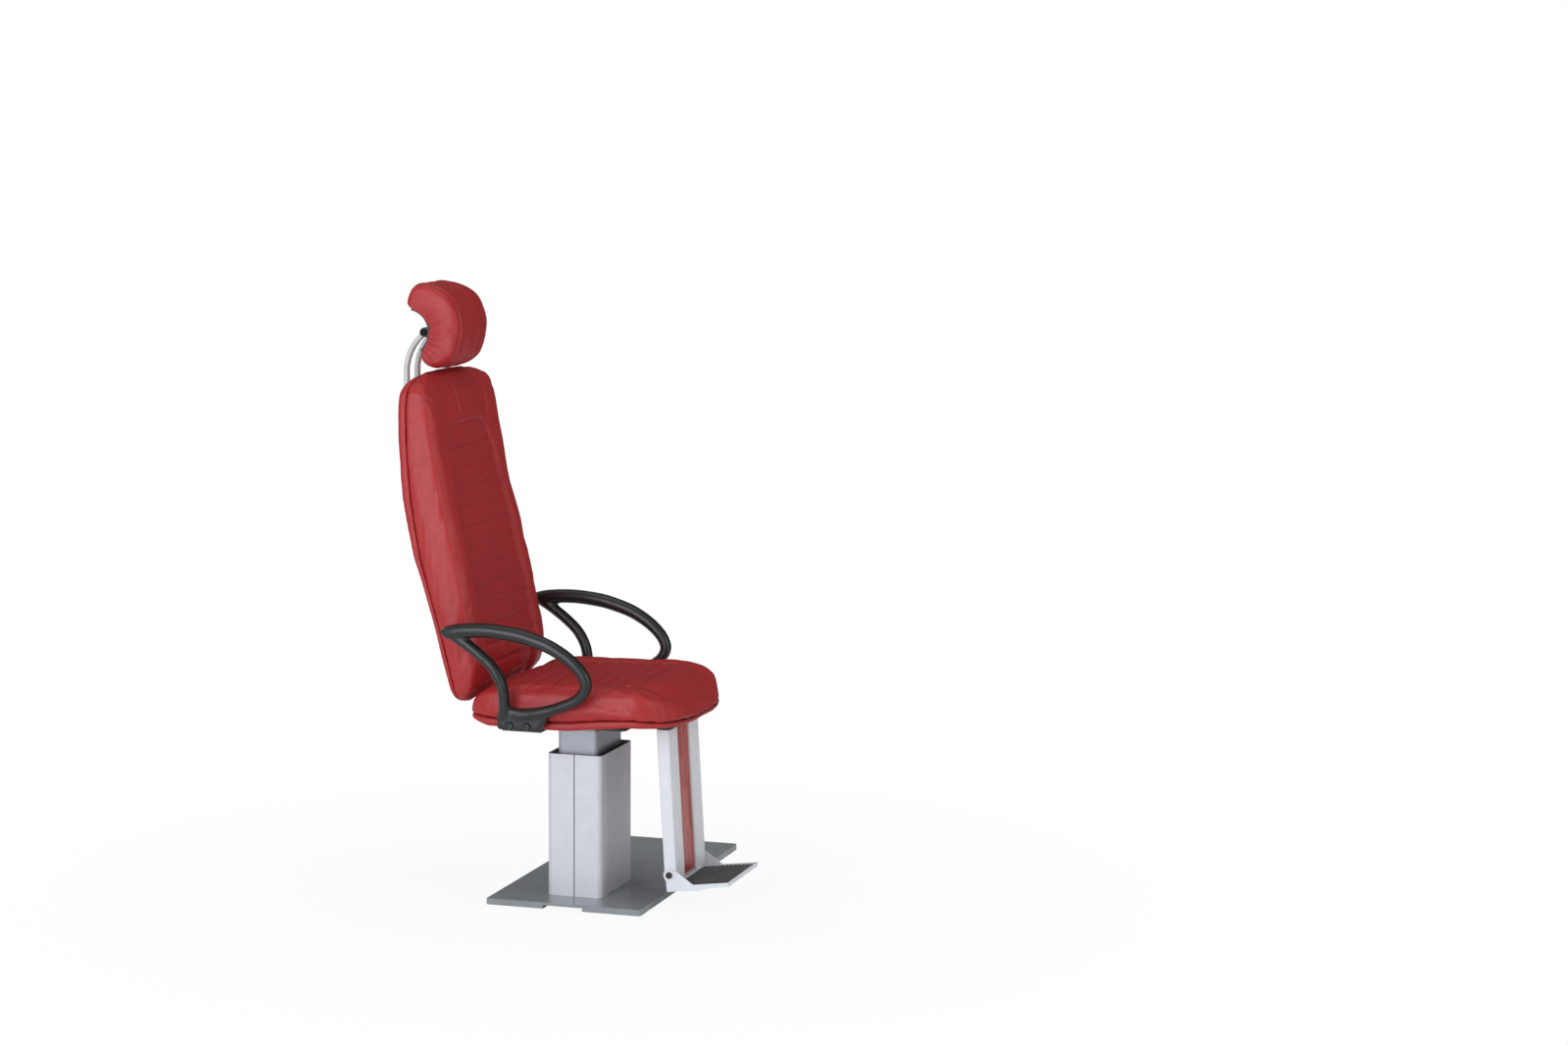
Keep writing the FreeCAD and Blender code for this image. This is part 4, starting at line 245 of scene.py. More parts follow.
def add_mesh(name: str, shape: Shape) -> Object:
    """Mesh object in metres, shaded smooth.

    Args:
        name: Name of the object and of its mesh.
        shape: Points in millimetres and faces.

    Returns:
        The object, linked to the scene.
    """
    points, faces = outward(shape)
    mesh = bpy.data.meshes.new(name)
    mesh.from_pydata((points * MM).tolist(), [], [face for block in faces for face in block.tolist()])
    shade_smooth(mesh)
    return add_object(name, mesh)


def read_rows(source: bpy.types.bpy_prop_collection, key: str) -> Array:
    """Vectors of a mesh's vertices or normals, shape (n, 3)."""
    flat = np.empty(len(source) * 3, np.float32)
    source.foreach_get(key, flat)
    return flat.reshape(-1, 3).astype(float)


def points_of(piece: Object) -> Array:
    """Vertex positions in millimetres, shape (n, 3)."""
    return read_rows(piece.data.vertices, "co") / MM


def surface_of(piece: Object) -> tuple[Array, Array]:
    """Vertex positions in millimetres and vertex normals."""
    return points_of(piece), read_rows(piece.data.vertex_normals, "vector")


def set_points(piece: Object, points: Array) -> None:
    """Put vertices at positions given in millimetres."""
    piece.data.vertices.foreach_set("co", (points * MM).astype(np.float32).ravel())
    piece.data.update()


def bake_modifiers(piece: Object) -> None:
    """Replace the piece's mesh by its modified one and drop the modifiers."""
    graph = bpy.context.evaluated_depsgraph_get()
    mesh = bpy.data.meshes.new_from_object(piece.evaluated_get(graph))
    piece.modifiers.clear()
    old = piece.data
    piece.data = mesh
    bpy.data.meshes.remove(old)
    mesh.name = piece.name
    shade_smooth(mesh)


def remesh(piece: Object, voxel: float, relax: int) -> None:
    """Even quads over the form, eased by repeated averaging.

    Args:
        piece: Closed mesh.
        voxel: Size of the quads in millimetres.
        relax: Rounds of averaging.
    """
    step = piece.modifiers.new("even", "REMESH")
    step.mode = "VOXEL"
    step.voxel_size = voxel * MM
    ease = piece.modifiers.new("ease", "SMOOTH")
    ease.factor = 0.5
    ease.iterations = relax
    bake_modifiers(piece)


def subdivide(piece: Object) -> None:
    """One round of Catmull-Clark subdivision, applied."""
    step = piece.modifiers.new("finer", "SUBSURF")
    step.levels = step.render_levels = 1
    bake_modifiers(piece)


CLOTH = {"quality": 5, "mass": 0.4, "tension_stiffness": 18.0, "compression_stiffness": 18.0, "shear_stiffness": 8.0,
         "bending_stiffness": 2.0, "use_pressure": True, "uniform_pressure_force": 4.0, "vertex_group_mass": "held"}
CLOTH_FRAMES = 20
TINY = 1e-6  # shift in millimetres that counts as none


def inflate(piece: Object, held: Callable[[Array], Array], cap: float) -> None:
    """Blow the cover up as cloth held at its base, and keep the folds that it takes.

    Args:
        piece: Closed even mesh.
        held: Gives how firmly each point is held, 0 to 1, from its position.
        cap: Furthest that a point may move, in millimetres.
    """
    rest = points_of(piece)
    firm = np.round(held(rest), 1)
    group = piece.vertex_groups.new(name="held")
    for level in np.unique(firm):
        if level > 0:
            group.add(np.flatnonzero(firm == level).tolist(), float(level), "REPLACE")
    cloth = piece.modifiers.new("cloth", "CLOTH")
    for key, value in CLOTH.items():
        setattr(cloth.settings, key, value)
    cloth.settings.effector_weights.gravity = 0.0
    scene = bpy.context.scene
    for number in range(1, CLOTH_FRAMES + 1):
        scene.frame_set(number)
    graph = bpy.context.evaluated_depsgraph_get()
    shift = read_rows(piece.evaluated_get(graph).data.vertices, "co") / MM - rest
    piece.modifiers.clear()
    piece.vertex_groups.clear()
    scene.frame_set(1)
    size = np.linalg.norm(shift, axis=1)
    share = np.where(size > TINY, cap * np.tanh(size / cap) / np.maximum(size, TINY), 0.0)
    set_points(piece, rest + shift * share[:, None])


def store_seams(piece: Object, gap: Array, run: Array) -> None:
    """Keep each vertex's distance to its seam and the run along it as attributes that the material reads."""
    for name, values in (("seam_gap", gap), ("seam_run", run)):
        layer = piece.data.attributes.new(name, "FLOAT", "POINT")
        layer.data.foreach_set("value", values.astype(np.float32))


def store_plain(piece: Object) -> None:
    """Mark a piece as one without seams."""
    count = len(piece.data.vertices)
    store_seams(piece, np.full(count, NO_SEAM), np.zeros(count))


def store_quilt(piece: Object, across: Array, seam: tuple[Array, Array], cross: tuple[Array, Array], reach: Array,
                shown: Array) -> None:
    """Keep the nearer of border and cross line where the sewn side shows."""
    nearest = np.where((cross[0] < seam[0]) & (reach > 0.05), cross[1], seam[0])
    store_seams(piece, np.where(shown < 0.05, NO_SEAM, nearest), np.where(cross[0] < seam[0], across, seam[1]))


# Finishes


class Grain(Enum):
    """Fine surface pattern of a finish."""

    LEATHER = "leather_grain"
    POWDER = "powder_grain"
    BRUSHED = "brushed_grain"
    WOOD = "wood_grain"
    MOULDED = "moulded_grain"


def group_tree(name: str, inputs: dict[str, float | None], outputs: tuple[str, ...]) -> Tree:
    """Empty shader group with its sockets.

    Args:
        name: Name of the group.
        inputs: Socket names with their starting value, None for a vector.
        outputs: Names of the number outputs.

    Returns:
        The new node tree.
    """
    tree = bpy.data.node_groups.new(name, "ShaderNodeTree")
    for label, value in inputs.items():
        kind = "NodeSocketVector" if value is None else "NodeSocketFloat"
        socket = tree.interface.new_socket(label, in_out="INPUT", socket_type=kind)
        if value is not None:
            socket.default_value = value
    for label in outputs:
        tree.interface.new_socket(label, in_out="OUTPUT", socket_type="NodeSocketFloat")
    return tree


class Wires:
    """Short way to add and join nodes in one tree."""

    def __init__(self, tree: Tree) -> None:
        """Keep the tree."""
        self.tree = tree

    @classmethod
    def clean(cls, owner: bpy.types.ID) -> "Wires":
        """Wires for the emptied node tree of a material or world."""
        owner.use_nodes = True
        owner.node_tree.nodes.clear()
        return cls(owner.node_tree)

    def add(self, kind: str, values: dict | None = None, **sockets: object) -> bpy.types.Node:
        """Add a node.

        Args:
            kind: Node type without its ShaderNode prefix.
            values: Node properties.
            **sockets: Input values or sockets by name, spaces as underscores.

        Returns:
            The node.
        """
        node = self.tree.nodes.new(("ShaderNode" + kind) if kind[:4] != "Node" else kind)
        for key, value in (values or {}).items():
            setattr(node, key, value)
        for key, value in sockets.items():
            self.feed(node.inputs[key.replace("_", " ")], value)
        return node

    def feed(self, socket: Socket, value: object) -> None:
        """Join a socket to another, or set its value."""
        if isinstance(value, Socket):
            self.tree.links.new(value, socket)
        else:
            socket.default_value = value

    def feed_all(self, sockets: object, *values: object) -> None:
        """Feed the first sockets of a node in order."""
        for socket, value in zip(sockets, values):
            self.feed(socket, value)

    def math(self, kind: str, *values: object, clamp: bool = False) -> Socket:
        """Math node on sockets or numbers, and its result."""
        node = self.add("Math", {"operation": kind, "use_clamp": clamp})
        self.feed_all(node.inputs, *values)
        return node.outputs[0]

    def times(self, first: object, second: object) -> Socket:
        """Product of two numbers."""
        return self.math("MULTIPLY", first, second)

    def noise(self, vector: object, scale: object, detail: float = 2.0, rough: float = 0.5) -> Socket:
        """Value of a noise texture."""
        return self.add("TexNoise", Vector=vector, Scale=scale, Detail=detail, Roughness=rough).outputs["Fac"]

    def stretch(self, vector: object, scale: Triple) -> Socket:
        """Coordinates scaled on each axis."""
        return self.add("Mapping", Vector=vector, Scale=scale).outputs[0]

    def mix(self, share: object, first: object, second: object) -> Socket:
        """Colour mix."""
        node = self.add("Mix", {"data_type": "RGBA"})
        self.feed_all([node.inputs[i] for i in (0, 6, 7)], share, first, second)
        return node.outputs[2]

    def spread(self, value: object, low: float, high: float, to_low: float, to_high: float) -> Socket:
        """Map a number from one range to another, clamped."""
        node = self.add("MapRange")
        self.feed_all(node.inputs, value, low, high, to_low, to_high)
        return node.outputs[0]


def grain_group(grain: Grain) -> Tree:
    """Shader group of one fine pattern, built once.

    It takes Vector and Scale and gives Height for a bump and Tone for colour, both about 0 to 1.

    Args:
        grain: Which pattern.

    Returns:
        The group.
    """
    found = bpy.data.node_groups.get(grain.value)
    if found:
        return found
    tree = group_tree(grain.value, {"Vector": None, "Scale": 1.0}, ("Height", "Tone"))
    w = Wires(tree)
    source = w.add("NodeGroupInput").outputs
    vector, scale = source["Vector"], source["Scale"]
    if grain is Grain.LEATHER:
        bend = w.add("TexNoise", Vector=vector, Scale=w.times(scale, 0.35)).outputs["Color"]
        bent = w.add("VectorMath", {"operation": "MULTIPLY_ADD"})
        w.feed_all(bent.inputs, bend, (0.0006, 0.0006, 0.0006), vector)
        cells = w.add("TexVoronoi", {"feature": "SMOOTH_F1"}, Vector=bent.outputs[0], Scale=scale,
                      Smoothness=0.35).outputs["Distance"]
        tone = w.noise(vector, w.times(scale, 0.12), 4.0, 0.6)
        pebble = w.spread(cells, 0.0, 0.75, 1.0, 0.0)
        height = w.math("MULTIPLY_ADD", pebble, 0.55, w.times(tone, 0.45))
    elif grain is Grain.POWDER:
        height = w.noise(vector, scale, 2.0, 0.6)
        tone = w.noise(vector, w.times(scale, 0.02))
    elif grain is Grain.BRUSHED:
        long = w.stretch(vector, (0.08, 0.08, 1.0))
        height = w.noise(long, scale, 3.0, 0.7)
        tone = w.noise(long, w.times(scale, 0.2))
    elif grain is Grain.WOOD:
        warp = w.noise(w.stretch(vector, (1.0, 1.0, 0.12)), w.times(scale, 0.16), 3.0, 0.6)
        height = w.noise(w.stretch(vector, (1.0, 1.0, 0.03)), scale, 3.0, 0.65)
        rings = w.math("SINE", w.math("MULTIPLY_ADD", warp, 22.0, w.times(height, 2.0)))
        tone = w.math("MULTIPLY_ADD", rings, 0.28, w.times(height, 0.75), clamp=True)
    else:
        coarse = w.times(w.noise(vector, w.times(scale, 0.3)), 0.4)
        height = w.math("ADD", w.times(w.noise(vector, scale), 0.6), coarse)
        tone = w.noise(vector, w.times(scale, 0.05), 3.0, 0.6)
    w.add("NodeGroupOutput", Height=height, Tone=tone)
    return tree


GROOVE_WIDTH, STITCH_OFFSET, STITCH_PITCH, THREAD_HALF = 1.5, 3.4, 4.2, 0.55  # millimetres
THREAD = (176, 66, 64)


def seam_group() -> Tree:
    """Shader group of a sewn line from the distance to it and the run along it, both in millimetres.

    It gives Groove, 1 in the line's bottom, and Stitch, 1 on the short stitches beside it.

    Returns:
        The group.
    """
    found = bpy.data.node_groups.get("sewn_line")
    if found:
        return found
    tree = group_tree("sewn_line", {"Gap": NO_SEAM, "Run": 0.0, "Width": 1.0, "Offset": 3.0}, ("Groove", "Stitch"))
    w = Wires(tree)
    source = w.add("NodeGroupInput").outputs
    gap = w.math("ABSOLUTE", source["Gap"])
    groove = w.math("SUBTRACT", 1.0, w.math("DIVIDE", gap, source["Width"]), clamp=True)
    beside = w.math("ABSOLUTE", w.math("SUBTRACT", gap, source["Offset"]))
    thread = w.math("SUBTRACT", 1.0, w.math("DIVIDE", beside, THREAD_HALF), clamp=True)
    dash = w.math("GREATER_THAN", w.math("SINE", w.times(source["Run"], TAU / STITCH_PITCH)), -0.35)
    w.add("NodeGroupOutput", Groove=groove, Stitch=w.times(thread, dash))
    return tree


def linear(colour: Colour) -> tuple[float, ...]:
    """Screen colour of 0 to 255 as linear numbers with full alpha."""
    share = np.array(colour) / 255.0
    value = np.where(share <= 0.04045, share / 12.92, ((share + 0.055) / 1.055) ** 2.4)
    return (*(float(v) for v in value), 1.0)


@dataclass(frozen=True)
class Finish:
    """One surface finish."""

    name: str
    slot: str  # material slot of the record
    colour: Colour  # screen colour of the surface
    shade: Colour  # screen colour that the pattern mixes in
    rough: tuple[float, float]  # roughness at the pattern's low and high tone
    grain: Grain
    scale: float  # pattern scale per metre
    bump: float = 0.3
    depth: float = 0.1  # bump height in millimetres
    metal: float = 0.0
    coat: float = 0.0
    specular: float = 0.5
    sewn: bool = False  # whether it reads the seam attributes
    nodes: tuple[str, ...] = ()  # CAD nodes that wear it

    def material(self) -> bpy.types.Material:
        """Material of this finish, built once.

        Returns:
            The material.
        """
        found = bpy.data.materials.get(self.name)
        if found:
            return found
        made = bpy.data.materials.new(self.name)
        w = Wires.clean(made)
        place = w.add("TexCoord").outputs["Object"]
        pattern = w.add("Group", {"node_tree": grain_group(self.grain)}, Vector=place, Scale=self.scale).outputs
        broad = w.noise(place, 7.0, 3.0, 0.55)
        tone = w.math("MULTIPLY_ADD", pattern["Tone"], 0.6, w.times(broad, 0.4))
        share = w.spread(tone, 0.32, 0.68, 0.0, 1.0)
        colour = w.mix(share, linear(self.colour), linear(self.shade))
        rough = w.spread(share, 0.0, 1.0, *self.rough)
        height = pattern["Height"]
        if self.sewn:
            gap, run = (w.add("Attribute", {"attribute_name": kind}).outputs["Fac"]
                        for kind in ("seam_gap", "seam_run"))
            sewn = w.add("Group", {"node_tree": seam_group()}, Gap=gap, Run=run, Width=GROOVE_WIDTH,
                         Offset=STITCH_OFFSET).outputs
            # painted shade: the bottom of each sewn groove is darkened towards 0.28 of the shade colour, up to 0.4 of
            # the way, besides being pressed in by the bump
            dark = tuple(0.28 * v for v in linear(self.shade)[:3]) + (1.0,)
            colour = w.mix(w.times(sewn["Groove"], 0.4), colour, dark)
            colour = w.mix(w.times(sewn["Stitch"], 0.04), colour, linear(THREAD))
            relief = w.math("SUBTRACT", w.times(sewn["Stitch"], 0.35), w.times(sewn["Groove"], 2.2))
            height = w.math("ADD", height, relief)
        bump = w.add("Bump", Strength=self.bump, Distance=self.depth * MM, Height=height).outputs[0]
        shader = w.add("BsdfPrincipled", Base_Color=colour, Roughness=rough, Metallic=self.metal, Normal=bump,
                       Coat_Weight=self.coat, Coat_Roughness=0.25, Specular_IOR_Level=self.specular)
        w.add("OutputMaterial", Surface=shader.outputs[0])
        return made

    def dress(self, *pieces: Object) -> None:
        """Give the pieces this finish."""
        for piece in pieces:
            if not piece.material_slots:
                piece.data.materials.append(self.material())
            for held in piece.material_slots:
                held.material = self.material()


LEATHER = Finish("red_leather_sewn", "red_leather", (170, 35, 37), (156, 30, 32), (0.44, 0.54), Grain.LEATHER, 620.0,
                 0.28, 0.13, sewn=True, specular=0.46)
ARM_SKIN = Finish("arm_black_skin", "arm_black", (24, 25, 26), (30, 31, 32), (0.3, 0.38), Grain.MOULDED, 900.0,
                  0.16, 0.05)
NODE_FINISHES = (
    Finish("floor_plate_coat", "floor_plate", (144, 150, 152), (132, 138, 140), (0.2, 0.28), Grain.POWDER, 1200.0,
           0.08, 0.04, nodes=("base_plate",)),
    Finish("column_silver_coat", "column_coat", (206, 208, 212), (199, 201, 206), (0.38, 0.46), Grain.POWDER, 1500.0,
           0.12, 0.05, metal=0.2, nodes=("column_cover_front", "column_cover_rear")),
    Finish("cap_black_plastic", "cap_black", (40, 41, 43), (50, 51, 53), (0.45, 0.6), Grain.MOULDED, 1200.0,
           nodes=("column_cap",)),
    Finish("machined_steel_face", "machined_steel", (150, 150, 150), (132, 132, 134), (0.28, 0.42), Grain.BRUSHED,
           900.0, 0.15, 0.04, metal=0.9, nodes=("guide_foot", "push_rod", "drive_tube", "swivel_ring",
                                                "swivel_pivot", "swivel_nut", "lift_top_plate", "footplate_bushes")),
    Finish("lift_silver_coat", "lift_silver", (174, 178, 185), (166, 170, 178), (0.34, 0.44), Grain.POWDER, 1500.0,
           0.1, 0.04, metal=0.35, nodes=("guide_tube", "lift_tube")),
    Finish("glide_plastic_white", "glide_plastic", (214, 214, 208), (200, 200, 196), (0.4, 0.5), Grain.MOULDED, 800.0,
           0.1, 0.03, nodes=("glide_pads_upper", "glide_pads_lower", "swivel_disc", "upright_plugs")),
    Finish("drive_grey_cast", "drive_housing", (96, 99, 102), (82, 85, 88), (0.5, 0.62), Grain.POWDER, 700.0,
           nodes=("drive_gearbox",)),
    Finish("motor_dark_can", "motor_can", (44, 46, 48), (56, 58, 60), (0.4, 0.52), Grain.POWDER, 900.0, 0.2, 0.06,
           nodes=("drive_motor",)),
    Finish("screw_bright_zinc", "bright_screw", (178, 179, 182), (150, 151, 156), (0.24, 0.36), Grain.BRUSHED, 1600.0,
           0.12, 0.02, metal=1.0, nodes=("base_bolts", "plate_screws", "rail_screws", "angle_screws",
                                         "back_bar_bolts", "headrest_guide_screws")),
    Finish("screw_dark_zinc", "bright_screw", (64, 65, 67), (54, 55, 57), (0.4, 0.5), Grain.POWDER, 1200.0, 0.0, 0.01,
           metal=0.6, nodes=("arm_screws", "footplate_bolts")),
    Finish("pivot_black_plastic", "head_black", (12, 12, 13), (16, 16, 17), (0.55, 0.65), Grain.POWDER, 1100.0, 0.0,
           0.01, specular=0.18, nodes=("headrest_barrel", "headrest_pin")),
    Finish("frame_black_coat", "frame_steel", (34, 35, 36), (42, 43, 45), (0.42, 0.55), Grain.POWDER, 1200.0, 0.2,
           0.06, nodes=("seat_plate", "seat_rails", "back_bar", "arm_angle_left", "arm_angle_right",
                        "footrest_hanger", "headrest_bracket")),
    Finish("plywood_dark_edge", "plywood", (58, 26, 22), (74, 38, 32), (0.6, 0.72), Grain.WOOD, 260.0, 0.2,
           nodes=("seat_board", "back_board")),
    Finish("foot_white_coat", "foot_white", (222, 225, 229), (214, 217, 222), (0.36, 0.46), Grain.POWDER, 1500.0,
           0.1, 0.04, nodes=("upright_left", "upright_right", "footplate_tray")),
    Finish("red_wood_veneer", "red_panel", (178, 52, 38), (140, 30, 23), (0.3, 0.42), Grain.WOOD, 420.0, 0.12, 0.05,
           coat=0.3, nodes=("footrest_panel",)),
    Finish("ribbed_black_rubber", "ribbed_rubber", (74, 74, 75), (90, 90, 91), (0.6, 0.75), Grain.MOULDED, 700.0,
           0.4, 0.12, nodes=("footplate_mat",)),
    Finish("satin_bright_tube", "bright_tube", (205, 209, 207), (197, 201, 199), (0.36, 0.42), Grain.POWDER, 900.0,
           0.0, 0.01, metal=0.1, nodes=("headrest_tubes", "headrest_stop_bar")),
    Finish("head_black_plastic", "head_black", (26, 26, 27), (36, 36, 37), (0.4, 0.55), Grain.MOULDED, 1100.0,
           nodes=("headrest_guide", "headrest_board")),
)


# Padded pieces, lengths in millimetres

CROWN = 5.0  # rise of a pad's middle over its edge
RIM, LEVEL = 10.0, 14.0  # width of a pad's lowered rim, and the distance from the edge where its base is level


def pad_rings(half: Array, rise: Array, panel: Array, panel_rise: Array, draw: Array, shoulder: float,
              lip: float) -> Array:
    """Sections of a cushion, across and up from its base.

    Each section is a base with a lowered rim, a bulging side, a shoulder and a crowned middle, all parabolas
    through three points, mirrored on the other side.

    Args:
        half: Half widths of the sections.
        rise: Heights of the shoulders.
        panel: Half widths of the middle.
        panel_rise: Heights at the middle's edge.
        draw: How far the base is drawn in.
        shoulder: Width of the shoulder.
        lip: How far the rim reaches below the base.

    Returns:
        Array of shape (s, n, 2).
    """
    foot = half - draw
    flank = ((foot, -lip), (half, rise * 0.48), (half - shoulder * 0.1, rise * 0.9),
             (panel + (half - panel) * 0.48, rise), (panel, panel_rise))
    under = ((-foot, -lip), (RIM - foot, -lip), (LEVEL - foot, 0.0), (foot - LEVEL, 0.0), (foot - RIM, -lip),
             (foot, -lip))
    right, top, low = ([np.stack([across, height + 0 * across], -1) for across, height in knots]
                       for knots in (flank, ((0 * panel, panel_rise + CROWN),), under))
    over = [*right, *top, *(knot * (-1.0, 1.0) for knot in right[::-1])]
    parts = [bow(*over[2 * i:2 * i + 3], count) for i, count in enumerate((10, 12, 30, 12, 10))]
    parts += [bow(a, (a + b) / 2, b, count) for a, b, count in zip(low, low[1:], (3, 2, 24, 2, 3))]
    return np.concatenate(parts, 1)


@dataclass(frozen=True)
class Cover:
    """How a pad's cover is meshed and blown up as cloth."""

    voxel: float  # size of its quads before they are made finer
    relax: int  # rounds of averaging over the quads
    cap: float  # furthest that a point may move
    near: float = 1.5  # distance from the pad's base up to which it is held
    far: float = 9.0  # distance from which it is free

    def pad(self, name: str, grid: Array, height: Callable[[Array], Array]) -> Object:
        """Closed pad over a stack of sections, blown up and made finer.

        Args:
            name: Name of the piece.
            grid: Points of the sections, shape (s, n, 3).
            height: Gives the distance of each position from the pad's base.

        Returns:
            The pad.
        """
        piece = add_mesh(name, skin(grid))
        remesh(piece, self.voxel, self.relax)
        inflate(piece, lambda p: 1.0 - ramp(height(p), self.near, self.far), self.cap)
        subdivide(piece)
        return piece


@dataclass
class Seat:
    """Seat cushion over a lower shell with a rolled rim."""

    stations: Table = (  # rear to front: depth, half width, top, seam share and bottom share
        (209, 205, 474, .50, .86), (203, 214, 481, .48, .80), (193, 221, 489, .36, .56), (176, 228, 498, .20, .22),
        (155, 233, 504, .10, 0), (107, 237, 509, .03, 0), (20, 241, 511, 0, 0), (-30, 241, 512, .10, .03),
        (-80, 241, 513, .48, .40), (-135, 240.5, 513.5, .84, .78), (-170, 239.5, 513, .94, 1),
        (-192, 237, 511, .94, 1), (-210, 229, 507.5, .76, .98), (-228, 214, 502, .60, .88),
        (-242, 196, 495.5, .45, .80), (-253, 175, 488, .34, .74), (-262, 150, 479.5, .26, .70),
        (-269, 120, 470.5, .20, .67), (-273, 92, 463.5, .16, .64), (-275, 70, 459, .14, .62))
    bottom: float = 420.0  # lowest level of the shell
    seam: float = 436.5  # level of the seam where its share is 0
    wave: float = 14.0  # rise of seam and bottom at share 1
    seam_gap: float = 0.3  # distance from the seam to the cushion's base
    full_rise: float = 76.0  # cushion height at share 1 of the drawn-in forms
    panel: float = 160.0  # half width of the sewn middle
    lines: tuple[float, ...] = tuple(152.0 - 40.0 * i for i in range(8))  # depths of the sewn cross lines
    panel_front: float = -136.0  # depth where the sewn middle's sides end
    corner: float = 26.0  # corner radius of the sewn middle
    nut_room: float = 27.0  # radius of the opening in the shell's bottom
    wall: float = 4.0  # thickness of the shell's bottom
    inner: float = 12.5  # how far the shell's inner wall lies inside the outline
    limit: float = 244.5  # half width that the finished cushion keeps within
    cover: Cover = Cover(5.0, 6, 5.0)  # how the cushion is blown up

    def rows(self, steps: int) -> Array:
        """Finer stations: depth, half width, top, seam height and bottom height."""
        knots = np.array(self.stations)
        knots[:, 3] = self.seam + self.wave * knots[:, 3]
        knots[:, 4] = self.bottom + self.wave * knots[:, 4]
        return spline(knots, steps)

    def cushion(self) -> Object:
        """Crowned cushion, blown up as cloth, with its seam lines and cross channels."""
        y, half, top, seam, _ = self.rows(4).T
        base = seam + self.seam_gap
        rise = top - base
        share = rise / self.full_rise
        panel = np.minimum(self.panel, half - 68.0 * share)
        rings = pad_rings(half, rise, panel, rise - 5.0 * share, 5.0 * share, 34.0, 0.0)
        grid = np.broadcast_arrays(rings[..., 0], y[:, None], base[:, None] + rings[..., 1])
        piece = self.cover.pad("seat_cushion_leather", np.stack(grid, -1),
                               lambda p: p[:, 2] - np.interp(p[:, 1], y[::-1], base[::-1]))
        self.sew(piece)
        return piece

    def sew(self, piece: Object) -> None:
        """Press the sewn lines into the cushion and keep the distance to them for the leather."""
        p, n = surface_of(piece)
        x, y, z = p.T
        wide = np.abs(x)
        upper = ramp(n[:, 2], 0.25, 0.7)
        w, front, r = self.panel, self.panel_front, self.corner
        turn = np.linspace(0, np.pi / 2, 9)[1:]
        bend = np.stack([w - r + r * np.cos(turn), front - r * np.sin(turn)], -1)
        line = np.vstack([[(w, 230.0), (w, front)], bend, [(0, front - r)]])
        gap, run = line_field(np.stack([wide, y], -1), line)
        cross, signed = cross_lines(y, self.lines, 20.0)
        reach = (wide < w) * (y > front - r) * ramp(w - wide, 0.0, 10.0)
        ripple = waves(p, 5, 9, 14.0, 34.0, (1.0, 0.25, 1.0))
        sink = 4.2 * bell(gap, 5.0) + reach * (4.0 * bell(cross, 5.5) - 1.2)
        sink += reach * 0.7 * ripple * bell(cross, 12.0) + 0.5 * ripple * bell(gap, 14.0)
        broad = waves(p, 11, 7, 60.0, 140.0)
        lift = -sink * upper + (0.35 + 0.45 * upper) * broad * ramp(z, 452.0, 475.0)
        corner_gap = np.hypot(np.hypot(wide - 236, y + 214), z - 468)
        lift -= 0.6 * bell(corner_gap, 30.0) * np.sin((x + z) * 0.33)
        moved = p + n * lift[:, None]
        moved[:, 0] = np.clip(moved[:, 0], -self.limit, self.limit)
        set_points(piece, moved)
        store_quilt(piece, x, (gap, run), (cross, signed), reach, upper)

    def outline(self, count: int) -> Array:
        """Plan outline of the seat, evenly spaced, shape (count, 2)."""
        y, half = self.rows(6).T[:2]
        loop = np.vstack([np.stack([half, y], -1), np.stack([-half[::-1], y[::-1]], -1)])
        loop = np.vstack([loop, loop[:1]])
        run = np.concatenate([[0.0], np.cumsum(np.linalg.norm(np.diff(loop, axis=0), axis=1))])
        even = np.linspace(0, run[-1], count, endpoint=False)
        plan = np.stack([np.interp(even, run, loop[:, i]) for i in (0, 1)], -1)
        for _ in range(6):
            plan = 0.5 * plan + 0.25 * (np.roll(plan, 1, 0) + np.roll(plan, -1, 0))
        return plan

    def shell(self) -> Object:
        """Lower shell as a hollow tray: a ring section carried round the plan outline."""
        plan = self.outline(420)
        table = self.rows(6)
        table = table[np.argsort(table[:, 0])]
        seam, low = (np.interp(plan[:, 1], table[:, 0], table[:, i]) for i in (3, 4))
        way = np.roll(plan, -1, 0) - np.roll(plan, 1, 0)
        inward = unit(np.stack([way[:, 1], -way[:, 0]], -1))
        inward *= np.sign(np.einsum("ij,ij->i", inward, -plan))[:, None]
        radius = (seam - low) / 2
        rings = []
        for a in np.linspace(np.radians(100), np.radians(-92), 20):
            offset = 1.0 + np.minimum(radius, 4.5 if a > 0 else 9.0) * (1 - np.cos(a)) * 0.9
            rings.append(np.column_stack([plan + inward * offset[:, None], low + radius * (1 + np.sin(a))]))
        circle = np.arctan2(plan[:, 1], plan[:, 0])
        hole = self.nut_room * np.stack([np.cos(circle), np.sin(circle)], -1)
        edge, edge_level = rings[-1][:, :2], rings[-1][:, 2]
        for t in np.linspace(0, 1, 16)[1:]:
            level = edge_level + (self.bottom - edge_level) * min(1.0, 2.4 * t)
            rings.append(np.column_stack([edge + (hole - edge) * t, level]))
        inside = plan + inward * self.inner
        floor = self.bottom + self.wall
        for t in np.linspace(0, 1, 8):
            level = floor + (low - self.bottom) * ramp(t, 0.4, 1.0)
            rings.append(np.column_stack([hole + (inside - hole) * t, level]))
        rings.append(np.column_stack([inside, seam - 1.0]))
        piece = add_mesh("seat_lower_shell", skin(np.stack(rings), closed=True))
        p, n = surface_of(piece)
        outer = np.hypot(p[:, 0], p[:, 1]) > 120
        set_points(piece, p + n * (outer * 0.35 * waves(p, 3, 9, 30.0, 90.0))[:, None])
        store_plain(piece)
        return piece

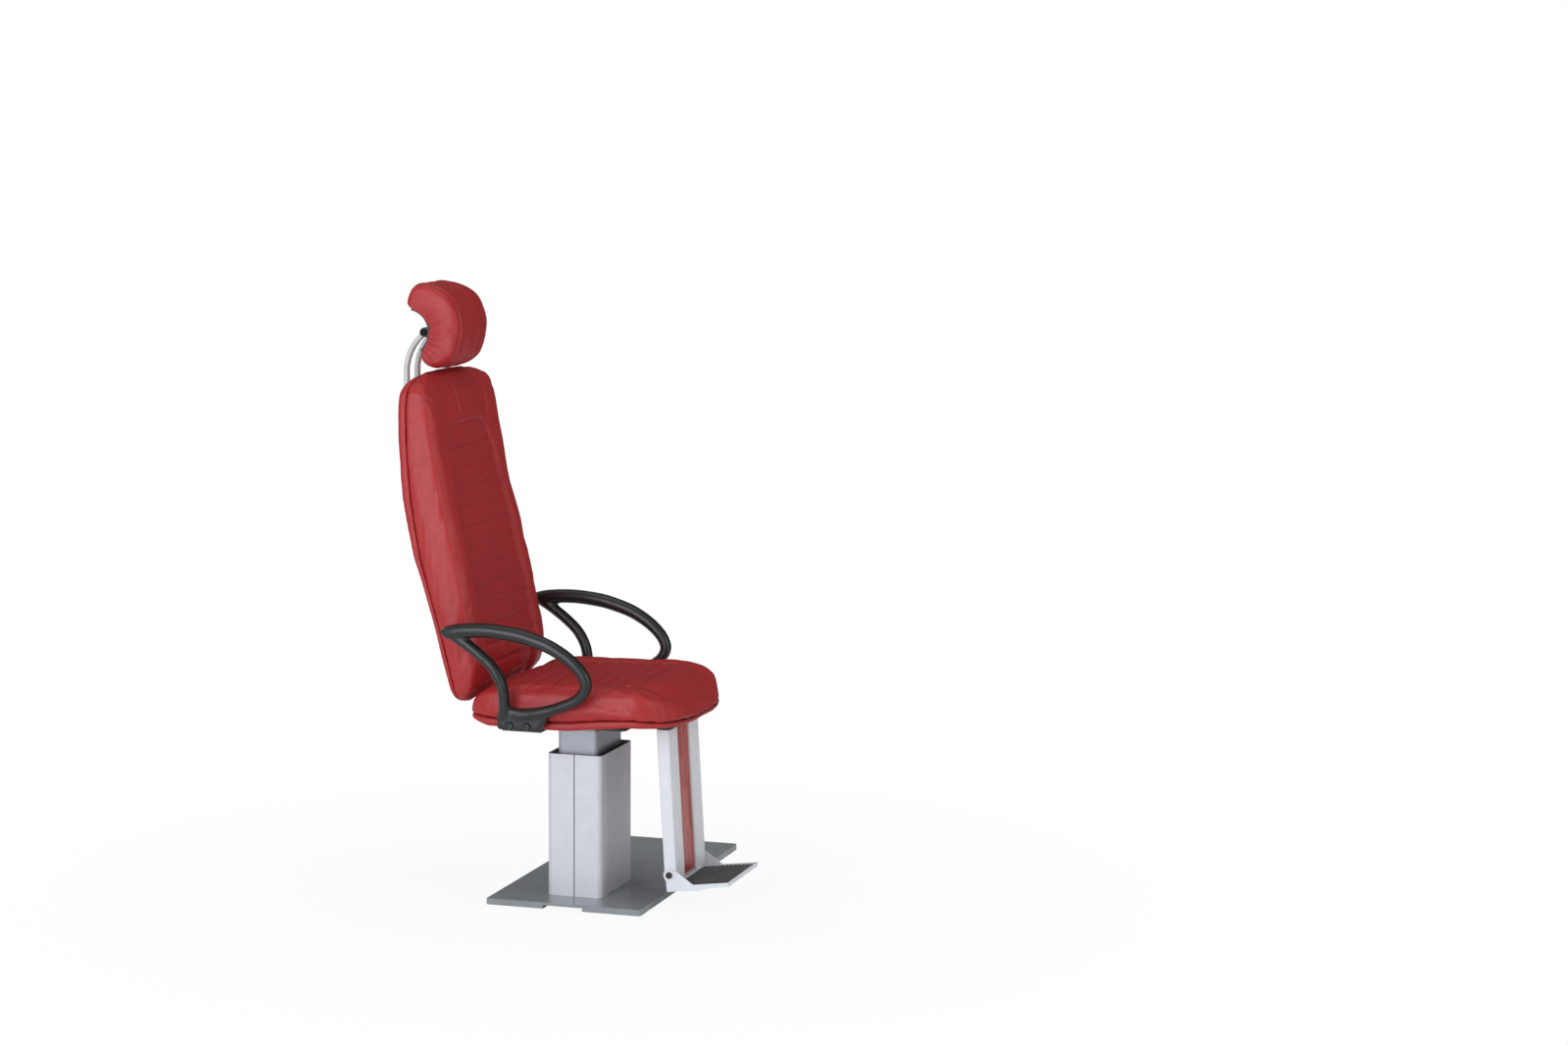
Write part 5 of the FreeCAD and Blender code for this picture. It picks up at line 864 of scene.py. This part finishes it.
    def build(self) -> None:
        """Make the seat's pieces and seat them on their body."""
        cushion = self.cushion()
        shell = self.shell()
        LEATHER.dress(cushion, shell)
        for piece, node in ((cushion, "seat_cushion"), (shell, "seat_shell")):
            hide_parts(node)
            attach(piece, "seat")
            report(piece)


@dataclass
class Back:
    """Back: padded front cushion over a rear cover, joined at a groove."""

    joint: Table = (  # height and depth of the groove
        (462, 237), (478, 240.4), (500, 245), (550, 255), (600, 268), (653, 283), (677, 290), (730, 306),
        (786, 323), (852, 336), (918, 348), (980, 354), (1050, 360), (1116, 361), (1160, 359), (1177, 355),
        (1197, 350))
    width: Table = (  # height and half width
        (462, 182), (468, 199), (478, 213), (488, 219.5), (497.4, 223), (520, 226.5), (541.6, 228.3), (590, 229),
        (670, 229), (723, 227), (784, 224.5), (845, 222), (915, 219.5), (985, 217.5), (1037, 215), (1072, 214.5),
        (1116, 213), (1142, 211.5), (1158, 208), (1170, 200.5), (1180, 187), (1188, 163), (1193, 135), (1197, 98))
    cushion_thick: Table = (  # height and cushion thickness
        (462, 12), (468, 19.5), (478, 25.5), (488, 35.5), (497.4, 45.5), (520, 56), (541.6, 63.2), (565, 67),
        (600, 71), (666, 77), (705, 82), (770, 88), (835, 87), (900, 81), (965, 74), (1030, 68), (1095, 60),
        (1130, 53), (1158, 45), (1172, 38), (1182, 31), (1190, 23), (1197, 14))
    cover_thick: Table = (  # height and cover thickness
        (462, 8), (468, 9.5), (478, 11.2), (488, 12.4), (497.4, 13.2), (541.6, 14.8), (586, 14.4), (675, 14.4),
        (719, 15.5), (763, 17), (808, 21.1), (852, 23.6), (896, 25), (940, 25), (1120, 25), (1150, 23.5),
        (1170, 20.5), (1185, 16), (1197, 10))
    panel: Table = (  # height and half width of the sewn middle
        (462, 156), (500, 154), (700, 150), (918, 143), (935, 138), (956, 133), (978, 131), (1000, 130), (1032, 121),
        (1050, 114), (1065, 100), (1074, 80), (1079, 50), (1081, 20), (1081, 0))
    arch: int = 10  # how many rows of the panel stand below its arch
    lines: tuple[float, ...] = tuple(541.6 + 44.2 * i for i in range(-1, 12))  # heights of the sewn cross lines
    lip: float = 8.0  # how far the rims reach towards each other before they are eased
    board: float = 4.3  # distance from the groove's middle to the base of either half
    groove: float = 0.6  # distance from the groove's middle that the rims keep
    roll: float = 7.0  # radius of the rear cover's rolled rim
    top: float = 1198.0  # height that the finished cushion keeps under
    # place across, lower and upper end, depth and width of the creases over the arch
    creases: Table = ((-50, 1096, 1166, 3.8, 5.5), (-26, 1094, 1140, 0.8, 5.0), (40, 1096, 1150, 0.8, 6.0),
                      (118, 1072, 1138, 2.8, 6.0), (-116, 1072, 1112, 0.8, 6.0))
    cover_quads: tuple[float, int] = (4.6, 4)  # quad size and rounds of averaging of the rear cover
    front_cover: Cover = Cover(5.6, 7, 4.0)  # how the cushion is blown up

    def sections(self, thickness: Table) -> tuple[Array, ...]:
        """Heights of the sections, closer together at both ends, with joint depth, half width and thickness."""
        z = np.concatenate([np.linspace(462, 500, 20), np.linspace(503, 560, 14), np.linspace(566, 1130, 90),
                            np.linspace(1134, 1197, 34)])
        return z, *(self.at(table, z) for table in (self.joint, self.width, thickness))

    def at(self, table: Table, z: Array) -> Array:
        """Value of a table at each height, smoothed away from its ends."""
        fine = look_up(table, z)
        inner = (z > table[0][0] + 40) & (z < table[-1][0] - 60)
        return np.where(inner, 0.5 * fine + 0.25 * (look_up(table, z - 7) + look_up(table, z + 7)), fine)

    def cushion(self) -> Object:
        """Cushion with side bolsters and a sunk middle, blown up as cloth, then sewn."""
        z, joint, half, thick = self.sections(self.cushion_thick)
        rise = thick - self.board
        share = rise / 90.0
        panel = np.where(z < 1060, look_up(self.panel[:self.arch], z), 112.0)
        panel = np.minimum(panel, half - 60.0)
        sink = (3.0 + 8.0 * ramp(z, 1110.0, 1040.0)) * share
        rings = pad_rings(half, rise, panel, rise - sink, 3.0 * np.minimum(1.0, share * 2), 44.0, self.lip)
        face = joint - self.board
        grid = np.broadcast_arrays(rings[..., 0], face[:, None] - rings[..., 1], z[:, None])
        piece = self.front_cover.pad("back_cushion_leather", np.stack(grid, -1),
                                     lambda p: np.interp(p[:, 2], z, face) - p[:, 1])
        self.sew(piece)
        self.meet(piece, 1.0)
        return piece

    def meet(self, piece: Object, side: float) -> None:
        """Flatten the rim where it meets the other half; side is 1 for the front half and -1 for the rear."""
        p = points_of(piece)
        joint = look_up(self.joint, p[:, 2])
        p[:, 1] = joint - side * np.maximum((joint - p[:, 1]) * side, self.groove)
        set_points(piece, p)

    def sew(self, piece: Object) -> None:
        """Press the inverted-U line, the cross lines and the creases into the cushion."""
        p, n = surface_of(piece)
        x, y, z = p.T
        wide = np.abs(x)
        front = ramp(-n[:, 1], 0.25, 0.7)
        gap, run = line_field(np.stack([wide, z], -1), np.array(self.panel)[:, ::-1])
        limit = look_up(self.panel, z)
        inside = (wide < limit) & (z < self.panel[-1][0])
        cross, signed = cross_lines(z, self.lines, 22.0)
        reach = inside * ramp(limit - wide, 0.0, 12.0)
        ripple = waves(p, 7, 9, 14.0, 36.0, (1.0, 1.0, 0.2))
        low = ramp(z, 760.0, 560.0)
        beyond = np.where(inside, 0.0, gap)
        arch = ramp(z, 980.0, 1060.0)
        sink = (3.0 - 0.4 * arch) * bell(gap, 3.6)
        sink -= (4.8 - 3.0 * arch) * ramp(beyond, 0.3, 5.5) * ramp(beyond, 42.0, 14.0)
        sink += reach * ((1.8 + 1.2 * low) * bell(cross, 6.0) - 0.8)
        sink += reach * (0.35 + 0.6 * low) * ripple * bell(cross, 15.0) + 0.4 * ripple * bell(gap, 14.0)
        for cx, c0, c1, deep, width in self.creases:
            lean = cx + (z - c0) * 0.06 * np.sign(cx)
            sink += deep * bell(x - lean, width) * ramp(z, c0 - 12, c0 + 12) * ramp(z, c1 + 16, c1 - 16)
        broad = waves(p, 13, 7, 70.0, 160.0)
        streak = waves(p, 17, 8, 9.0, 26.0, (1.0, 1.0, 0.12))
        lift = -sink * front + 0.8 * broad + 0.28 * streak * ramp(np.abs(n[:, 0]), 0.5, 0.9)
        moved = p + n * (lift * ramp(look_up(self.joint, z) - y, 3.0, 20.0))[:, None]
        moved[:, 2] = np.minimum(moved[:, 2], self.top)
        set_points(piece, moved)
        store_quilt(piece, x, (gap, run), (cross, signed), reach, front)

    def cover(self) -> Object:
        """Rear cover: a rolled rim and a nearly flat rear face."""
        z, joint, half, thick = self.sections(self.cover_thick)
        rise, r = thick - self.board, self.roll
        crown = 9.0 * thick / 25.0
        t = np.linspace(0, np.pi / 2, 10)
        rim = np.stack([(half - r)[:, None] + r * np.cos(t), np.outer(rise * 0.8, np.sin(t))], -1)
        share = np.linspace(1, -1, 41)[None, :]
        dome = (rise * 0.8)[:, None] + (rise * 0.2 + crown)[:, None] * (1 - ramp(np.abs(share), 0.28, 1.0))
        rear = np.stack([(half - r)[:, None] * share, dome], -1)
        line = np.linspace(-0.975, 0.975, 53)
        reach = np.where(np.abs(line) > 0.92, -self.lip, 0.0) * np.minimum(1.0, thick / 12.0)[:, None]
        inner = np.stack([line * half[:, None], reach], -1)
        rings = np.concatenate([rim[:, :-1], rear, rim[:, -2::-1] * (-1.0, 1.0), inner], 1)
        grid = np.broadcast_arrays(rings[..., 0], (joint + self.board)[:, None] + rings[..., 1], z[:, None])
        piece = add_mesh("back_rear_cover", skin(np.stack(grid, -1)))
        remesh(piece, *self.cover_quads)
        subdivide(piece)
        p, n = surface_of(piece)
        set_points(piece, p + n * (0.5 * waves(p, 19, 8, 50.0, 150.0) * ramp(n[:, 1], -0.6, 0.2))[:, None])
        self.meet(piece, -1.0)
        store_plain(piece)
        return piece

    def build(self) -> None:
        """Make the back's pieces and seat them on their body."""
        for piece, node, fill in ((self.cushion(), "back_cushion", 0.8), (self.cover(), "back_cover", 0.95)):
            LEATHER.dress(piece)
            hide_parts(node)
            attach(piece, "seat")
            report(piece)


@dataclass
class Headrest:
    """Crescent cushion on a curved board."""

    profile: Table = (  # depth and height from the upper rear tip over the front to the lower rear tip
        (398, 1339.5), (412, 1350), (407.5, 1373), (395, 1391.5), (366, 1395.5), (326, 1382.5), (296, 1354),
        (279.5, 1298), (296, 1233), (318, 1211.5), (346, 1201.5), (370.5, 1212), (378.5, 1230), (373, 1240))
    hollow: tuple[float, float] = (351.0, 1289.0)  # deepest point of the hollow rear
    heart: tuple[float, float] = (314.0, 1294.0)  # point towards which the profile is drawn in
    stations: Table = (  # distance from the middle and draw-in of the profile
        (96, 17), (93.6, 10.9), (89.3, 6.5), (80.6, 3.2), (59.5, 1.2), (30, 0.3), (0, 0))
    seam: float = 78.0  # distance of the two side seams from the middle
    low: float = 1199.6  # height that the finished cushion keeps above
    side_folds: Table = (  # angle, width, depth and reach of the folds on both sides
        (38, 3.0, 2.2, 30), (27, 2.6, 1.6, 24), (17, 3.2, 2.6, 44), (8, 2.4, 1.5, 22), (-2, 3.0, 2.0, 34),
        (-13, 2.6, 2.4, 28), (-25, 3.4, 2.2, 36), (-36, 2.8, 1.5, 24), (-48, 3.4, 1.8, 30))
    # place across, rise and width of the upright folds on the front
    front_folds: Table = ((-66, 1.4, 6.0), (-46, -1.3, 7.0), (-16, 0.8, 8.0), (10, -1.1, 8.0), (34, 1.5, 8.0),
                          (58, -1.1, 7.0))
    cover: Cover = Cover(3.8, 3, 4.0, 1.0, 7.0)  # how the cushion is blown up

    def hollow_arc(self, count: int) -> tuple[Array, Array, float]:
        """Points of the hollow from the lower to the upper tip, with the circle's centre and radius."""
        low, high = np.array(self.profile[-1]), np.array(self.profile[0])
        mid = np.array(self.hollow)
        rows = 2 * np.array([mid - low, high - low])
        centre = np.linalg.solve(rows, [mid @ mid - low @ low, high @ high - low @ low])
        radius = float(np.linalg.norm(low - centre))
        a0, a1 = (np.arctan2(*(point - centre)[::-1]) % TAU for point in (low, high))
        angle = np.linspace(a0, a1, count + 2)[1:-1]
        return centre + radius * np.stack([np.cos(angle), np.sin(angle)], -1), centre, radius

    def cushion(self) -> Object:
        """Crescent cushion, blown up as cloth, with side seams and folds that run from the hollow."""
        outer = spline(np.array(self.profile), 7)
        hollow, centre, radius = self.hollow_arc(26)
        way = unit(np.array(self.heart) - outer)
        place = np.arange(len(outer))
        ease = ramp(place, 0, 6) * ramp(len(outer) - 1 - place, 0, 6)
        table = spline(np.array(self.stations), 4)
        rings = []
        for x, inset in np.vstack([table * (-1.0, 1.0), table[-2::-1]]):
            ring = np.vstack([outer + way * (inset * ease)[:, None], hollow])
            rings.append(np.column_stack([np.full(len(ring), x), ring]))
        piece = self.cover.pad("headrest_cushion_leather", np.stack(rings),
                               lambda p: np.hypot(p[:, 1] - centre[0], p[:, 2] - centre[1]) - radius)
        self.fold(piece, centre, radius)
        return piece

    def fold(self, piece: Object, centre: Array, radius: float) -> None:
        """Press in the side seams and the folds that spread from the hollow's edge."""
        p, n = surface_of(piece)
        x, y, z = p.T
        gap = np.abs(x) - self.seam
        reach = np.hypot(y - centre[0], z - centre[1]) - radius
        angle = np.degrees(np.arctan2(z - centre[1], centre[0] - y))
        side = ramp(np.abs(n[:, 0]), 0.35, 0.8)
        sink = 2.2 * bell(gap, 3.6) * ramp(reach, 4.0, 20.0)
        for at, width, deep, far in self.side_folds:
            sink += deep * side * bell(angle - at, width) * ramp(reach, far + 12.0, 4.0)
        front = waves(p, 23, 9, 10.0, 26.0, (0.9, 0.25, 0.18))
        lift = -sink + 0.5 * waves(p, 29, 7, 35.0, 80.0) * ramp(reach, 3.0, 15.0)
        lift += 0.35 * front * (1 - side) * ramp(reach, 8.0, 30.0) * bell(np.abs(x) - 66, 34.0)
        for cx, rise, width in self.front_folds:
            lift += rise * (1 - side) * bell(x - cx, width) * ramp(reach, 12.0, 40.0)
        moved = p + n * lift[:, None]
        moved[:, 2] = np.maximum(moved[:, 2], self.low)
        set_points(piece, moved)
        store_seams(piece, np.where(reach > 5, gap, NO_SEAM), angle * 1.6)

    def build(self) -> None:
        """Make the cushion and seat it on its body."""
        piece = self.cushion()
        LEATHER.dress(piece)
        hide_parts("headrest_cushion")
        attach(piece, "headrest_pad")
        report(piece)


@dataclass
class Armrest:
    """Moulded loop armrest with a rear strut and a foot block, smooth where they meet."""

    loop: Table = (  # share along the arm, share of its height, and two section shares, from rear end to foot
        (1.030, 0.925, 0.55, 0.50), (1.005, 0.950, 0.90, 0.88), (0.890, 0.985, 1.00, 1.00),
        (0.706, 1.000, 1.00, 1.00), (0.517, 0.972, 1.00, 1.00), (0.401, 0.930, 0.98, 0.98),
        (0.278, 0.865, 0.96, 0.95), (0.187, 0.789, 0.93, 0.92), (0.110, 0.703, 0.90, 0.89),
        (0.043, 0.597, 0.87, 0.86), (0.006, 0.492, 0.85, 0.83), (0.002, 0.406, 0.83, 0.80),
        (0.031, 0.322, 0.81, 0.77), (0.083, 0.250, 0.80, 0.76), (0.162, 0.188, 0.80, 0.76),
        (0.254, 0.130, 0.80, 0.78), (0.339, 0.092, 0.80, 0.80), (0.431, 0.060, 0.76, 0.74),
        (0.520, 0.040, 0.72, 0.70))
    strut: Table = (  # share along the arm and share of its height
        (0.600, 0.020), (0.597, 0.122), (0.596, 0.245), (0.616, 0.410), (0.675, 0.580), (0.768, 0.722),
        (0.875, 0.848), (0.955, 0.925))
    # outline of the foot block, depth and height
    foot: Table = ((-3, 463), (8, 443), (22.5, 421.2), (70, 421), (117, 421), (122.5, 426.5), (121, 450), (118, 472),
                   (90, 469), (60, 470), (30, 474), (10, 472))
    # place across and draw-in of the block's sections
    foot_steps: Table = ((246.3, 3.0), (247.2, 1.0), (249.0, 0.0), (269.0, 0.0), (272.2, 1.4), (274.0, 4.6))
    front: float = -90.0  # depth of the front end
    rear: float = 236.0  # depth at share 1 along the arm
    low: float = 446.0  # height at share 0
    high: float = 643.0  # height at share 1
    foot_x: float = 260.0  # distance from the middle at the foot
    tip_x: float = 278.0  # distance from the middle at the top
    loop_radii: tuple[float, float] = (17.0, 16.5)  # half width and half height of the loop's section at share 1
    strut_radii: tuple[float, float] = (14.0, 12.8)  # the same of the strut
    screws: tuple[float, ...] = (50.0, 90.0)  # depths of the two screws
    screw_z: float = 431.0  # height of the screws
    well: tuple[float, float] = (6.9, 8.6)  # radii between which a screw's recess falls off
    well_face: float = 269.9  # distance from the middle of the recess's bottom
    quads: tuple[float, int] = (2.6, 16)  # quad size and rounds of averaging

    def place(self, share: Array) -> Array:
        """Centre points from shares; the arm flares outwards with height."""
        flare = np.clip(share[:, 1], 0, 1) ** 0.48
        return np.stack([self.foot_x + (self.tip_x - self.foot_x) * flare,
                         self.front + (self.rear - self.front) * share[:, 0],
                         self.low + (self.high - self.low) * share[:, 1]], -1)

    def tube(self, centres: Array, wide: Array, high: Array) -> Shape:
        """Oval section carried along a path, square to it in the side view.

        Args:
            centres: Points of the path, shape (s, 3).
            wide: Half widths of the sections.
            high: Half heights of the sections.

        Returns:
            Points and faces.
        """
        along = np.gradient(centres, axis=0)
        along[:, 0] = 0
        across = np.array([1.0, 0.0, 0.0])
        normal = np.cross(across, unit(along))
        angle = np.linspace(0, TAU, 28, endpoint=False)
        return skin(centres[:, None] + across * (wide[:, None] * np.cos(angle))[..., None]
                    + normal[:, None] * (high[:, None] * np.sin(angle))[..., None])

    def block(self) -> Shape:
        """Foot block: a side outline carried across in steps that round both faces."""
        outline = np.array(self.foot)
        way = unit(outline.mean(0) - outline)
        return skin(np.stack([np.column_stack([np.full(len(outline), x), outline + way * inset])
                              for x, inset in self.foot_steps]))

    def moulding(self, name: str, side: float) -> Object:
        """One armrest; side is 1 for positive and -1 for negative x."""
        fine = spline(np.array(self.loop), 6)
        loop = self.tube(self.place(fine[:, :2]), self.loop_radii[0] * fine[:, 2], self.loop_radii[1] * fine[:, 3])
        rod = self.place(spline(np.array(self.strut), 6))
        strut = self.tube(rod, *(np.full(len(rod), radius) for radius in self.strut_radii))
        piece = add_mesh(name, join(*(outward(s) for s in (loop, strut, self.block()))))
        remesh(piece, *self.quads)
        p = points_of(piece)
        for y in self.screws:
            well = 1 - ramp(np.hypot(p[:, 1] - y, p[:, 2] - self.screw_z), *self.well)
            p[:, 0] -= (p[:, 0] > 266) * well * np.maximum(p[:, 0] - self.well_face, 0)
        set_points(piece, p * (side, 1.0, 1.0))
        if side < 0:
            piece.data.flip_normals()
        return piece

    def build(self) -> None:
        """Make both armrests and seat them on their body."""
        for name, node, side in (("armrest_left_skin", "arm_left", 1.0), ("armrest_right_skin", "arm_right", -1.0)):
            piece = self.moulding(name, side)
            ARM_SKIN.dress(piece)
            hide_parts(node)
            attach(piece, "seat")
            report(piece)


@dataclass(frozen=True)
class Lamp:
    """Square soft lamp."""

    name: str
    place: Triple  # where it hangs, in metres
    aim: Triple  # point that it faces
    size: float  # side length in metres
    power: float  # power in watts
    colour: Triple = (1.0, 1.0, 1.0)

    def hang(self) -> None:
        """Add the lamp to the scene."""
        data = bpy.data.lights.new(self.name, "AREA")
        data.shape = "SQUARE"
        data.size = self.size
        data.energy = self.power
        data.color = self.colour
        made = add_object(self.name, data)
        made.location = self.place
        made.rotation_euler = (Vector(self.place) - Vector(self.aim)).to_track_quat("Z", "Y").to_euler()


@dataclass
class Studio:
    """Floor, world light, lamps and the camera."""

    eye: Triple = (-7.04532, -2.57166, 1.78861)  # place of the camera, in metres
    right: Triple = (0.28802708, -0.95759503, 0.00722258)  # direction to the picture's right
    up: Triple = (0.11585128, 0.04233077, 0.99236414)  # direction to the picture's top
    forward: Triple = (0.9505887, 0.284991, -0.12313102)  # direction of view
    lens: float = 76.31  # focal length in millimetres
    lamps: tuple[Lamp, ...] = (
        Lamp("key_softbox", (-4.8, 0.95, 1.7), (0.0, 0.0, 0.75), 3.2, 132.0, (0.94, 0.98, 1.06)),
        Lamp("front_fill", (-0.8, -5.2, 2.4), (0.0, 0.0, 0.7), 2.4, 53.0),
        Lamp("rear_fill", (2.6, 4.4, 2.6), (0.0, 0.2, 0.8), 2.4, 40.0),
        Lamp("top_softbox", (0.2, 0.2, 4.2), (0.0, 0.0, 0.5), 2.6, 20.0))
    floor_half: float = 40.0  # half side length of the floor, in metres
    matt_light: float = 0.52  # level of the world's light on matt faces
    # the world's level in mirrored light on the near and the far side
    mirrored_light: tuple[float, float] = (0.6, 0.06)

    def camera(self) -> None:
        """Camera at the place and with the lens that the perspective fit gave."""
        data = bpy.data.cameras.new("camera")
        data.sensor_width = 36.0
        data.lens = self.lens
        data.clip_end = 100.0
        made = add_object("camera", data)
        turn = Matrix((self.right, self.up, [-v for v in self.forward])).transposed().to_4x4()
        made.matrix_world = Matrix.Translation(self.eye) @ turn
        bpy.context.scene.camera = made

    def world(self) -> None:
        """White for the camera, a plain level for matt light, and for mirrored light dimmer on the far side."""
        world = bpy.data.worlds.new("studio")
        bpy.context.scene.world = world
        w = Wires.clean(world)
        path = w.add("LightPath").outputs
        way = w.add("SeparateXYZ", Vector=w.add("TexCoord").outputs["Generated"]).outputs
        mirrored = w.spread(way["X"], -0.4, 0.5, *self.mirrored_light)
        extra = w.times(path["Is Glossy Ray"], w.math("SUBTRACT", mirrored, self.matt_light))
        strength = w.math("MAXIMUM", path["Is Camera Ray"], w.math("ADD", extra, self.matt_light))
        shine = w.add("Background", Color=WHITE, Strength=strength)
        w.add("OutputWorld", Surface=shine.outputs[0])

    def floor(self) -> None:
        """Pale floor that keeps the shadow near the chair, turns white further out and mirrors dark far behind."""
        mesh = bpy.data.meshes.new("floor")
        corners = ((-1, -1), (1, -1), (1, 1), (-1, 1))
        mesh.from_pydata([(x * self.floor_half, y * self.floor_half, 0.0) for x, y in corners], [], [(0, 1, 2, 3)])
        made = add_object("floor", mesh)
        material = bpy.data.materials.new("floor_white")
        w = Wires.clean(material)
        path = w.add("LightPath").outputs
        place = w.add("TexCoord").outputs["Object"]
        away = w.add("VectorMath", {"operation": "LENGTH"}, Vector=place).outputs["Value"]
        share = w.times(path["Is Camera Ray"], w.spread(away, 0.5, 1.5, 0.9, 1.0))
        across = w.add("SeparateXYZ", Vector=place).outputs["X"]
        dimmed = w.times(path["Is Glossy Ray"], w.spread(across, 1.2, 3.5, 0.0, 0.88))
        tone = w.mix(dimmed, (0.86, 0.86, 0.87, 1.0), (0.02, 0.02, 0.02, 1.0))
        plain = w.add("BsdfDiffuse", Color=tone).outputs[0]
        glow = w.add("Emission", Color=WHITE, Strength=1.0).outputs[0]
        both = w.add("MixShader")
        w.feed_all(both.inputs, share, plain, glow)
        w.add("OutputMaterial", Surface=both.outputs[0])
        made.data.materials.append(material)

    def build(self) -> None:
        """Set the whole studio up."""
        self.camera()
        for lamp in self.lamps:
            lamp.hang()
        self.world()
        self.floor()
        bpy.context.scene.view_settings.view_transform = "Standard"


def report(piece: Object) -> None:
    """Log a finished piece and its size."""
    log.info("%s: %d points, %d faces", piece.name, len(piece.data.vertices), len(piece.data.polygons))


def dress_nodes() -> None:
    """Give every shown CAD node its finish."""
    for finish in NODE_FINISHES:
        for name in finish.nodes:
            finish.dress(frame["nodes"][name])
            log.info("%s: %s", name, finish.name)


def main() -> None:
    """Build the chair's soft and moulded pieces, dress the rest and set the studio up."""
    logging.basicConfig(level=logging.INFO, format="%(name)s %(message)s")
    bpy.context.scene.frame_start = 1
    dress_nodes()
    Seat().build()
    Back().build()
    Headrest().build()
    Armrest().build()
    Studio().build()


if __name__ == "__main__":
    main()
